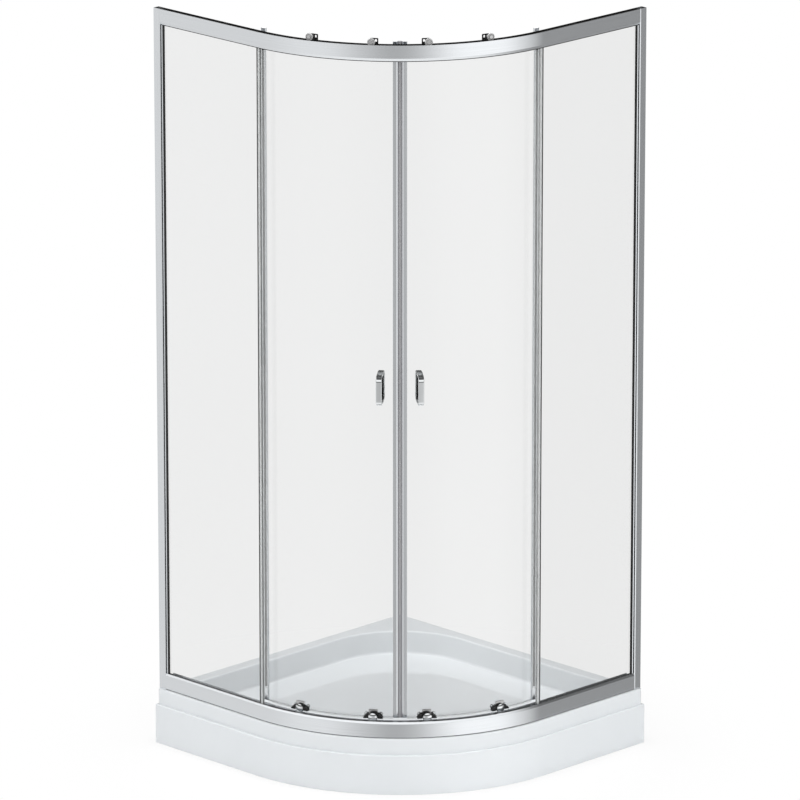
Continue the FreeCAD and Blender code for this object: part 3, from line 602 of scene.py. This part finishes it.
# rubber blocks in the head rail's groove, level with its lips: a rounded outline stood up on each side
def makeDoorStops():
    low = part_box("door_stops")[0]
    end, back = low.x + doorStop["length"], low.y + doorStop["depth"]
    outline = rounded([(low.x, low.y), (end, low.y), (end, back), (low.x, back)], doorStop["corner"])
    top = railHigh.z - doorStop["sink"]
    skins = [skin(sided(raised(outline, low.z, top), side)) for side in sides]
    makePiece("groove_stops", skins, "enclosure", ["rubber"], "door_stops")


makeDoorStops()
print("rails and door stops made")

pane = {
    "thick": 5 * mm,
    "edge": 0.8 * mm,
    "edgeSteps": 3,
    "arcSteps": 48,
    "doorStart": 10 * mm,
    "doorEnd": 384.8 * mm,
}


# section of a pane as (depth, height): a slab with rounded edges
def paneSection(near, low, high):
    far = near + pane["thick"]
    corners = [(near, low.z), (near, high.z), (far, high.z), (far, low.z)]
    return rounded(corners, pane["edge"], pane["edgeSteps"])


# flat panes carry the section along a straight line, door panes round the arc
def makePanes():
    low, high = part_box("left_fixed_glass")
    line = np.array([[low.x, -halfSide + faceInset], [high.x, -halfSide + faceInset]])
    inward = np.array([[0.0, 1.0], [0.0, 1.0]])
    flat = carried(paneSection(low.y + halfSide - faceInset, low, high), (line, inward))
    low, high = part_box("left_door_glass")
    arc = doorStations(pane["doorStart"], pane["doorEnd"], pane["arcSteps"])
    curved = carried(paneSection(front["doorDepth"], low, high), arc)
    for side in sides:
        slab = skin(sided(flat, side), capPaint=(0, 1))  # painted shade: the free end takes an opaque near-black coat for the dark look of the glass edge
        fixed = makePiece(side + "_fixed_pane", [slab], "enclosure", ["glass", "paintedDarkGlassEdge"],
                          side + "_fixed_glass")
        door = makePiece(side + "_door_pane", [skin(sided(curved, side))], side + "_door",
                         ["glass"], side + "_door_glass")
        fixed.visible_shadow = door.visible_shadow = False


makePanes()

edgeSeal = {
    "width": 10 * mm,
    "wall": 1.4 * mm,
    "lip": 3 * mm,
    "part": 0.05 * mm,
    "fin": 1.2 * mm,
    "finReach": 12 * mm,
    "finFoot": 40 * mm,
    "finHead": 6 * mm,
}


# clear U strip on each fixed pane's free edge, a dark lip along its front leg that is painted shade of the gap
# beside the door's stile, a fin towards the door
def makeEdgeSeals():
    glassLow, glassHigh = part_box("left_fixed_glass")
    low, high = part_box("panel_edge_seals")
    start, end = glassHigh.x - edgeSeal["width"], glassHigh.x + edgeSeal["wall"]
    near, far = glassLow.y - edgeSeal["wall"], glassHigh.y + edgeSeal["wall"]
    lipEnd = start + edgeSeal["lip"]
    legStart = lipEnd + edgeSeal["part"]
    clip = [
        (legStart, near), (end, near), (end, far), (start, far), (start, glassHigh.y),
        (glassHigh.x, glassHigh.y), (glassHigh.x, glassLow.y), (legStart, glassLow.y),
    ]
    lip = [(start, near), (lipEnd, near), (lipEnd, glassLow.y), (start, glassLow.y)]
    finStart, finNear, finFar = end - edgeSeal["fin"], far + edgeSeal["part"], far + edgeSeal["finReach"]
    fin = [(finStart, finNear), (end, finNear), (end, finFar), (finStart, finFar)]
    finLow, finHigh = sillHigh.z + edgeSeal["finFoot"], railLow.z - edgeSeal["finHead"]
    skins = []
    for side in sides:
        skins.append(skin(sided(raised(clip, low.z, high.z), side)))
        # painted shade: the lip and its ends take the black rubber coat to stand for the shadow gap
        skins.append(skin(sided(raised(lip, low.z, high.z), side), paint=1, capPaint=(1, 1)))
        skins.append(skin(sided(raised(fin, finLow, finHigh), side)))
    makePiece("edge_strips", skins, "enclosure", ["seal", "rubber"], "panel_edge_seals")


makeEdgeSeals()
print("panes and edge seals made")

stile = {
    "front": 32.5 * mm,
    "back": 40.5 * mm,
    "edge": 0.6 * mm,
    "edgeSteps": 3,
    "slopeRun": 2.6 * mm,
    "slopeFall": 1.0 * mm,
    "slopeEdge": 0.2 * mm,
    "magnetRound": 1.2 * mm,
    "magnetNear": 33 * mm,
    "magnetFar": 40 * mm,
    "magnetStart": 0.3 * mm,
    "closingStart": 6 * mm,
    "closingEnd": 18 * mm,
    "trailingStart": 376.9 * mm,
    "trailingEnd": 391.8 * mm,
}


# upright bars on the doors: outlines of (along, depth) with a shallow slope beside the magnets
def makeStiles():
    low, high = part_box("left_closing_stile")
    near, far, run = stile["front"], stile["back"], stile["slopeRun"]
    slopeEnd = near + stile["slopeFall"]
    start, end = stile["closingStart"], stile["closingEnd"]
    closing = rounded(
        [(start, slopeEnd), (start + run, near), (end, near), (end, far), (start, far)],
        [stile["slopeEdge"]] * 2 + [stile["edge"]] * 3, stile["edgeSteps"])
    start, end = stile["magnetStart"], stile["closingStart"]
    magnet = rounded([
        (start, stile["magnetNear"]), (end, stile["magnetNear"]), (end, stile["magnetFar"]),
        (start, stile["magnetFar"]),
    ], [stile["magnetRound"], stile["slopeEdge"], stile["slopeEdge"], stile["magnetRound"]])
    start, end = stile["trailingStart"], stile["trailingEnd"]
    trailing = rounded([
        (start, slopeEnd), (start + run, near), (end - run, near), (end, slopeEnd), (end, far),
        (start, far),
    ], [stile["slopeEdge"]] * 4 + [stile["edge"]] * 2, stile["edgeSteps"])
    bars = (
        ("_closing_bar", closing, "satin_aluminium", ["upright", "endCap"], "_closing_stile"),
        ("_trailing_bar", trailing, "satin_aluminium", ["upright", "endCap"], "_trailing_stile"),
        ("_magnet_bar", magnet, "magnet_grey", ["magnet"], "_magnet_strip"),
    )
    for side in sides:
        for name, outline, slotName, coats, node in bars:
            lastCoat = len(coats) - 1
            bar = skin(sided(stood(outline, low.z, high.z), side), capPaint=(lastCoat, lastCoat))
            makePiece(side + name, [bar], side + "_door", coats, side + node)


makeStiles()
print("stiles and magnets made")

wheel = {
    "halfWidth": 2 * mm,
    "halfWeb": 1.2 * mm,
    "rim": 2.2 * mm,
    "hub": 4.6 * mm,
    "bore": 2.7 * mm,
    "boreRound": 0.1 * mm,
    "webRound": 0.2 * mm,
    "rimRound": 0.3 * mm,
    "treadRound": 0.8 * mm,
    "roundSteps": 2,
    "turnSteps": 48,
    "capGap": 0.05 * mm,
    "capEdge": 0.05 * mm,
    "capBulge": 2.6 * mm,
    "capRadiusShare": 0.92,
    "capSteps": 10,
    "radius": {"top": 10 * mm, "bottom": 12 * mm},
    "tread": {"top": "wheel", "bottom": "rubber"},
}


# wheels turned about their joint's axis: rim, thinner web and hub; bottom wheels wear a domed cap,
# whose height falls with the square of the radius
def makeWheels():
    halfRounds = [wheel["boreRound"], wheel["rimRound"], wheel["webRound"], wheel["webRound"],
                  wheel["rimRound"], wheel["treadRound"]]
    half, web, hub, bore = wheel["halfWidth"], wheel["halfWeb"], wheel["hub"], wheel["bore"]
    for name, joint in joints.items():
        if not name.endswith("_wheel_spin"):
            continue
        node = name.removesuffix("_spin")
        side, level = node.split("_")[:2]
        radius = wheel["radius"][level]
        inner = radius - wheel["rim"]
        outward = np.array(joint["axis"], float) * (1 if side == "left" else -1)
        profile = rounded([
            (bore, -half), (hub, -half), (hub, -web), (inner, -web), (inner, -half), (radius, -half),
            (radius, half), (inner, half), (inner, web), (hub, web), (hub, half), (bore, half),
        ], halfRounds + halfRounds[::-1], wheel["roundSteps"])
        skins = [skin(turned(profile, joint["pos_m"], outward, wheel["turnSteps"]), closeRows=True)]
        if level == "bottom":
            reach = radius * wheel["capRadiusShare"] * np.linspace(1, 0, wheel["capSteps"])
            seat = half + wheel["capGap"]
            crown = seat + wheel["capEdge"] + wheel["capBulge"] * (1 - (reach / reach[0]) ** 2)
            cap = np.stack([np.append(reach, [0, reach[0]]), np.append(crown, [seat, seat])], 1)
            dome = turned(cap, joint["pos_m"], outward, wheel["turnSteps"])
            skins.append(skin(dome, closeRows=True, paint=1))
        makePiece(node + "_tyre", skins, node, [wheel["tread"][level], "chrome"], node)


makeWheels()

hanger = {
    "near": 30.9 * mm,
    "far": 33.9 * mm,
    "middleSide": 14 * mm,
    "outerSide": 6.5 * mm,
    "topDrop": 2.5 * mm,
    "windowMiddle": 11 * mm,
    "windowOuter": 5.5 * mm,
    "windowRise": 1.5 * mm,
    "windowCrown": 2.6 * mm,
    "corner": 2.2 * mm,
    "windowCorner": 1.2 * mm,
    "cornerSteps": 5,
    "places": (68 * mm, 225 * mm),
}


# plate that carries a top wheel: outer and window outlines, each at both depths, joined in a ring
def makeHangers():
    low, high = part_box("left_top_hangers")
    start, end, top = -hanger["middleSide"], hanger["outerSide"], high.z - hanger["topDrop"]
    outer = rounded([(start, low.z), (end, low.z), (end, top), (start, top)],
                    hanger["corner"], hanger["cornerSteps"])
    start, end = -hanger["windowMiddle"], -hanger["windowOuter"]
    sill, crown = railHigh.z + hanger["windowRise"], top - hanger["windowCrown"]
    window = rounded([(start, sill), (end, sill), (end, crown), (start, crown)],
                     hanger["windowCorner"], hanger["cornerSteps"])
    for side in sides:
        skins = []
        for place in hanger["places"]:
            frontAndBack = plated(outer, hanger["near"], hanger["far"], place)
            openings = plated(window, hanger["near"], hanger["far"], place)
            loops = np.stack([frontAndBack[0], openings[0], openings[1], frontAndBack[1]])
            skins.append(skin(sided(loops, side), closeRows=True))
        makePiece(side + "_hanger_plates", skins, side + "_door", ["blackPlastic"],
                  side + "_top_hangers")


makeHangers()

carrier = {
    "near": 24.4 * mm,
    "plate": 32.2 * mm,
    "far": 33.9 * mm,
    "halfWidth": 25 * mm,
    "wingStart": 12.6 * mm,
    "wingTip": 3.5 * mm,
    "wingTop": 12 * mm,
    "wingShoulder": 2 * mm,
    "wingFoot": 0.4 * mm,
    "tipRound": 0.8 * mm,
    "backTip": 5 * mm,
    "backDrop": 4 * mm,
    "backSteps": 5,
    "corner": 1.2 * mm,
    "places": (68 * mm, 267 * mm),
}


# saddle of a bottom wheel: a back plate and two wings that slope down from the wheel
def makeCarriers():
    low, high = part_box("left_bottom_carriers")
    wide, start, corner = carrier["halfWidth"], carrier["wingStart"], carrier["corner"]
    bottom, top = low.z, high.z - carrier["backDrop"]
    tip, wingTop = bottom + carrier["backTip"], bottom + carrier["wingTop"]
    back = rounded(
        [(-wide, bottom), (wide, bottom), (wide, tip), (start, top), (-start, top), (-wide, tip)],
        corner, carrier["backSteps"])
    wing = rounded([
        (start, bottom), (wide, bottom), (wide, bottom + carrier["wingTip"]),
        (start + carrier["wingShoulder"], wingTop), (start, wingTop),
    ], [carrier["wingFoot"], carrier["tipRound"], corner, corner, carrier["wingFoot"]])
    for side in sides:
        skins = []
        for place in carrier["places"]:
            skins.append(skin(sided(plated(back, carrier["plate"], carrier["far"], place), side)))
            for way in (1, -1):
                slope = plated(wing * [way, 1], carrier["near"], carrier["plate"], place)
                skins.append(skin(sided(slope, side)))
        makePiece(side + "_saddles", skins, side + "_door", ["blackPlastic"],
                  side + "_bottom_carriers")


makeCarriers()

# caps are (radius, thickness), their shares the turned profile from the glass to the cap's middle
bolt = {
    "glassBack": 39.1 * mm,
    "shaft": 3 * mm,
    "topCap": (9 * mm, 5 * mm),
    "bottomCap": (5 * mm, 3 * mm),
    "topSide": 5 * mm,
    "bottomSide": 19 * mm,
    "topHeight": 1937 * mm,
    "bottomHeight": 200.5 * mm,
    "shaftStart": 33 * mm,
    "turnSteps": 28,
    "capShares": (
        (1, 0), (1, 0.6), (0.99, 0.7), (0.95, 0.8), (0.88, 0.87), (0.8, 0.9), (0.55, 0.95), (0.5, 0.8),
        (0.4, 0.8), (0.35, 1), (0, 1),
    ),
}


# round capped bolts inside the glass: a crowned cap with a turned groove, on its shaft
def makeBolts():
    spots = [(place - bolt["topSide"], bolt["topHeight"], bolt["topCap"]) for place in hanger["places"]]
    spots += [(place + way * bolt["bottomSide"], bolt["bottomHeight"], bolt["bottomCap"])
              for place in carrier["places"] for way in (-1, 1)]
    start, cap = bolt["shaftStart"], bolt["glassBack"]
    for side in sides:
        skins = []
        for place, height, capSize in spots:
            crown = np.array(bolt["capShares"]) * capSize + [0, cap]
            profile = np.concatenate([[(0, start), (bolt["shaft"], start), (bolt["shaft"], cap)], crown])
            origin, ahead = seated([(0, 0, height), (0, 1, height)], place)
            points = turned(profile, origin, ahead - origin, bolt["turnSteps"])
            skins.append(skin(sided(points, side), closeRows=True, closeColumns=False))
        makePiece(side + "_capped_bolts", skins, side + "_door", ["chrome"],
                  side + "_roller_bolts")


makeBolts()

# way is the direction out of the glass, in depth; a rosette is (radius, thickness)
handle = {
    "place": 50 * mm,
    "middle": 1067.5 * mm,
    "height": 79 * mm,
    "width": 15 * mm,
    "strap": 5 * mm,
    "reach": 38 * mm,
    "bend": 15 * mm,
    "bendSteps": 10,
    "edge": 1.8 * mm,
    "shadeStrip": 7 * mm,
    "rosette": (8 * mm, 4 * mm),
    "rosetteShares": ((0, 0), (1, 0), (1, 0.55), (0.97, 0.8), (0.9, 1), (0, 1)),
    "rosetteSteps": 36,
    "outer": {"seat": 33.9 * mm, "way": -1},
    "inner": {"seat": 39.1 * mm, "way": 1},
}


# bow handle: a rounded strap section carried along a line out of the glass, up and back in; a strip down the
# middle of the bow's inside faces takes a near-black coat as painted shade
def makeHandles():
    half, wide, shadeStrip = handle["strap"] / 2, handle["width"] / 2, handle["shadeStrip"] / 2
    section = rounded([(-half, -wide), (half, -wide), (half, wide), (-half, wide)], handle["edge"])
    section = np.concatenate([section, [(-half, shadeStrip), (-half, -shadeStrip)]])
    paintedShadeFaces = np.arange(len(section)) == len(section) - 2
    leg, reach = handle["height"] / 2 - half, handle["reach"] - half
    steps = handle["bendSteps"]
    path = rounded([(0, -leg), (reach, -leg), (reach, leg), (0, leg)],
                   [0, handle["bend"], handle["bend"], 0], steps)[steps:-steps]
    tangent = np.gradient(path, axis=0)
    tangent /= np.linalg.norm(tangent, axis=1, keepdims=True)
    outside = np.stack([tangent[:, 1], -tangent[:, 0]], 1)
    line = path[:, None] + outside[:, None] * section[None, :, :1]
    across = np.broadcast_to(section[None, :, 1:], line.shape[:2] + (1,))
    profile = np.array(handle["rosetteShares"]) * handle["rosette"]
    for which in ("outer", "inner"):
        seat, way = handle[which]["seat"], handle[which]["way"]
        points = np.concatenate([across, seat + way * line[..., :1], handle["middle"] + line[..., 1:]], 2)
        for side in sides:
            skins = [skin(sided(seated(points, handle["place"]), side), paint=paintedShadeFaces.astype(int))]
            for rise in (-leg, leg):
                height = handle["middle"] + rise
                origin, ahead = seated([(0, seat, height), (0, seat + way, height)], handle["place"])
                rosette = turned(profile, origin, ahead - origin, handle["rosetteSteps"])
                skins.append(skin(sided(rosette, side), closeRows=True, closeColumns=False))
            makePiece(side + "_" + which + "_bow", skins, side + "_door",
                      ["chrome", "paintedShadeStrip"], side + "_" + which + "_handle")


makeHandles()
print("wheels, hangers, carriers, bolts and handles made")

# a pad is (radius, thickness), its shares the turned profile from the floor up to the stud
foot = {
    "places": (
        (-230 * mm, -312 * mm), (-230 * mm, 347 * mm), (260 * mm, -161.8 * mm), (260 * mm, 347 * mm),
        (15 * mm, 150 * mm),
    ),
    "pad": (22 * mm, 7 * mm),
    "padShares": (
        (0, 0), (0.93, 0), (1, 0.21), (1, 0.5), (0.91, 0.71), (0.41, 1), (0.32, 1.21), (0.23, 1.28),
    ),
    "threadStart": 10 * mm,
    "crest": 5 * mm,
    "root": 4.3 * mm,
    "pitch": 1.5 * mm,
    "turnSteps": 36,
}


# feet: a moulded pad on a stud whose thread is a zigzag profile turned about the stud
def makeFeet():
    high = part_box("tray_feet")[1].z
    turn = np.arange(2 * int((high - foot["threadStart"]) / foot["pitch"]))
    radius = np.where(turn % 2, foot["root"], foot["crest"])
    thread = np.stack([radius, foot["threadStart"] + turn * foot["pitch"] / 2], 1)
    pad = np.array(foot["padShares"]) * foot["pad"]
    profile = np.concatenate([pad, thread, [(foot["root"], high), (0, high)]])
    skins = []
    for place in foot["places"]:
        points = turned(profile, (*place, 0), (0, 0, 1), foot["turnSteps"])
        skins.append(skin(points, closeRows=True, closeColumns=False))
    makePiece("threaded_feet", skins, "enclosure", ["foot"], "tray_feet")


makeFeet()
print("feet made")

# metres and radians; the floor's share of white rises from floorWhite to 1 between the two radii
studio = {
    "cameraPlace": (13.4364, -13.4364, 6.4432),
    "pitch": 0.28241,
    "lens": 345.85,
    "sensor": 36.0,
    "clip": (0.1, 200),
    "lampAim": (0, 0, 0.5),
    "floorRadius": 14.0,
    "floorSteps": 96,
    "floorDrop": 0.5 * mm,
    "floorGrey": 0.86,
    "floorRough": 0.7,
    "floorWhite": 0.82,
    "floorWhiteFrom": 0.5,
    "floorWhiteTo": 1.0,
}


def makeCamera():
    data = bpy.data.cameras.new("photoCamera")
    data.sensor_width = studio["sensor"]
    data.lens = studio["lens"]
    data.clip_start, data.clip_end = studio["clip"]
    camera = bpy.data.objects.new("photoCamera", data)
    level = math.cos(studio["pitch"]) / math.sqrt(2)
    look = Vector((-level, level, -math.sin(studio["pitch"])))
    camera.location = studio["cameraPlace"]
    camera.rotation_mode = "QUATERNION"
    camera.rotation_quaternion = look.to_track_quat("-Z", "Y")
    scene.collection.objects.link(camera)
    scene.camera = camera


# seen by the camera, straight or through glass
def seenDirectly(tree):
    path = addNode(tree, "LightPath")
    return maths(tree, "MAXIMUM", path.outputs["Is Camera Ray"], path.outputs["Is Transmission Ray"])


# dome of soft light, bearings in degrees from the viewer and heights as sines: panels left and right
# with a dim gap between, a bright band above them, a dark wall behind the object and a dark ceiling,
# bright below; a ray of fewer bounces than firstMirror has met no metal yet
dome = {
    "room": 0.25,
    "panels": (
        {"strength": 0.535, "rise": (-175, -150), "fall": (-40, 20)},
        {"strength": 0.11, "rise": (-85, -55), "fall": (-44, -25)},
        {"strength": 0.45, "rise": (-10, 40), "fall": (60, 84)},
        {"strength": 0.45, "rise": (-10, 40), "fall": (80, 93)},
        {"strength": 0.35, "rise": (110, 150), "fall": (180, 181)},
    ),
    "band": {"strength": 1.02, "rise": (-135, -108), "fall": (66, 92)},
    "bandFoot": (0.24, 0.34),
    "bandHead": (0.70, 0.82),
    "horizon": (0.02, 0.12),
    "below": (-0.7, -0.95),
    "ceiling": 0.11,
    "under": 1.0,
    "firstMirror": 0.5,
}


def makeDome():
    world = bpy.data.worlds.new("studioDome")
    scene.world = world
    world.use_nodes = True
    tree = world.node_tree
    direction = addNode(tree, "TexCoord").outputs["Generated"]
    diagonal = math.sqrt(0.5)

    def towards(x, y, z):
        node = addNode(tree, "VectorMath", operation="DOT_PRODUCT")
        tree.links.new(direction, node.inputs[0])
        node.inputs[1].default_value = (x, y, z)
        return node.outputs["Value"]

    ahead, right = towards(diagonal, -diagonal, 0), towards(diagonal, diagonal, 0)
    height = towards(0, 0, 1)
    bearing = maths(tree, "MULTIPLY", maths(tree, "ARCTAN2", right, ahead), math.degrees(1))

    def panel(strength, rise, fall):
        up = remap(tree, bearing, *rise, 0, strength, True)
        return maths(tree, "MULTIPLY", up, remap(tree, bearing, *fall, 1, 0, True))

    def mixed(factor, first, second):
        node = addNode(tree, "Mix", data_type="FLOAT")
        for place, value in ((0, factor), (2, first), (3, second)):
            feed(tree, node.inputs[place], value)
        return node.outputs[0]

    # goes over from the first value to the second as the height runs through the span
    def stacked(span, first, second):
        return mixed(remap(tree, height, *span, 0, 1, True), first, second)

    level = dome["room"]
    for values in dome["panels"]:
        level = maths(tree, "ADD", panel(**values), level)
    level = stacked(dome["below"], level, dome["under"])
    band = maths(tree, "ADD", panel(**dome["band"]), dome["ceiling"])
    above = stacked(dome["bandFoot"], dome["ceiling"], band)
    above = stacked(dome["bandHead"], above, dome["ceiling"])
    level = stacked(dome["horizon"], level, above)
    # metal that reflects through a pane still sees the dome and not the white background
    bounces = addNode(tree, "LightPath").outputs["Glossy Depth"]
    unmirrored = maths(tree, "LESS_THAN", bounces, dome["firstMirror"])
    shown = mixed(maths(tree, "MULTIPLY", seenDirectly(tree), unmirrored), level, 1.0)
    background = tree.nodes["Background"]
    background.inputs["Color"].default_value = (1, 1, 1, 1)
    tree.links.new(shown, background.inputs["Strength"])


# soft boxes that fill the pale surfaces; the metal reflects the dome alone
lamps = {
    "overhead": {"place": (0, 0, 5.0), "size": 3.2, "power": 206},
    "right": {"place": (3.86, 1.04, 0.3), "size": 0.8, "power": 33},
    "left": {"place": (-1.04, -3.86, 1.6), "size": 2.5, "power": 18.5},
}


def makeLamps():
    for name, values in lamps.items():
        data = bpy.data.lights.new(name + "Box", "AREA")
        data.shape = "DISK"
        data.size = values["size"]
        data.energy = values["power"]
        lamp = bpy.data.objects.new(name + "Box", data)
        lamp.location = values["place"]
        lamp.rotation_mode = "QUATERNION"
        lamp.rotation_quaternion = (Vector(studio["lampAim"]) - lamp.location).to_track_quat("-Z", "Y")
        lamp.visible_camera = lamp.visible_glossy = lamp.visible_transmission = False
        scene.collection.objects.link(lamp)


# round floor that whitens away from the object and keeps a faint shadow beside it
def makeFloor():
    angle = np.linspace(0, 2 * math.pi, studio["floorSteps"], endpoint=False)
    ring = np.stack([np.cos(angle), np.sin(angle), np.zeros_like(angle)], 1) * studio["floorRadius"]
    mesh = bpy.data.meshes.new("studioFloor")
    mesh.from_pydata((ring - [0, 0, studio["floorDrop"]]).tolist(), [], [list(range(len(ring)))])
    floor = bpy.data.objects.new("studioFloor", mesh)
    scene.collection.objects.link(floor)
    material = bpy.data.materials.new("paleFloor")
    material.use_nodes = True
    tree = material.node_tree
    shader = tree.nodes["Principled BSDF"]
    shader.inputs["Base Color"].default_value = (*grey(studio["floorGrey"]), 1)
    shader.inputs["Roughness"].default_value = studio["floorRough"]
    white = addNode(tree, "Emission")
    white.inputs["Color"].default_value = (1, 1, 1, 1)
    spread = addNode(tree, "VectorMath", operation="LENGTH")
    tree.links.new(addNode(tree, "TexCoord").outputs["Object"], spread.inputs[0])
    far = remap(tree, spread.outputs["Value"], studio["floorWhiteFrom"], studio["floorWhiteTo"],
                studio["floorWhite"], 1, True)
    mix = addNode(tree, "MixShader")
    tree.links.new(maths(tree, "MULTIPLY", far, seenDirectly(tree)), mix.inputs[0])
    tree.links.new(shader.outputs[0], mix.inputs[1])
    tree.links.new(white.outputs[0], mix.inputs[2])
    tree.links.new(mix.outputs[0], tree.nodes["Material Output"].inputs["Surface"])
    mesh.materials.append(material)
    floor.visible_glossy = False


makeCamera()
makeDome()
makeLamps()
makeFloor()
print("camera, dome, lamps and floor set")
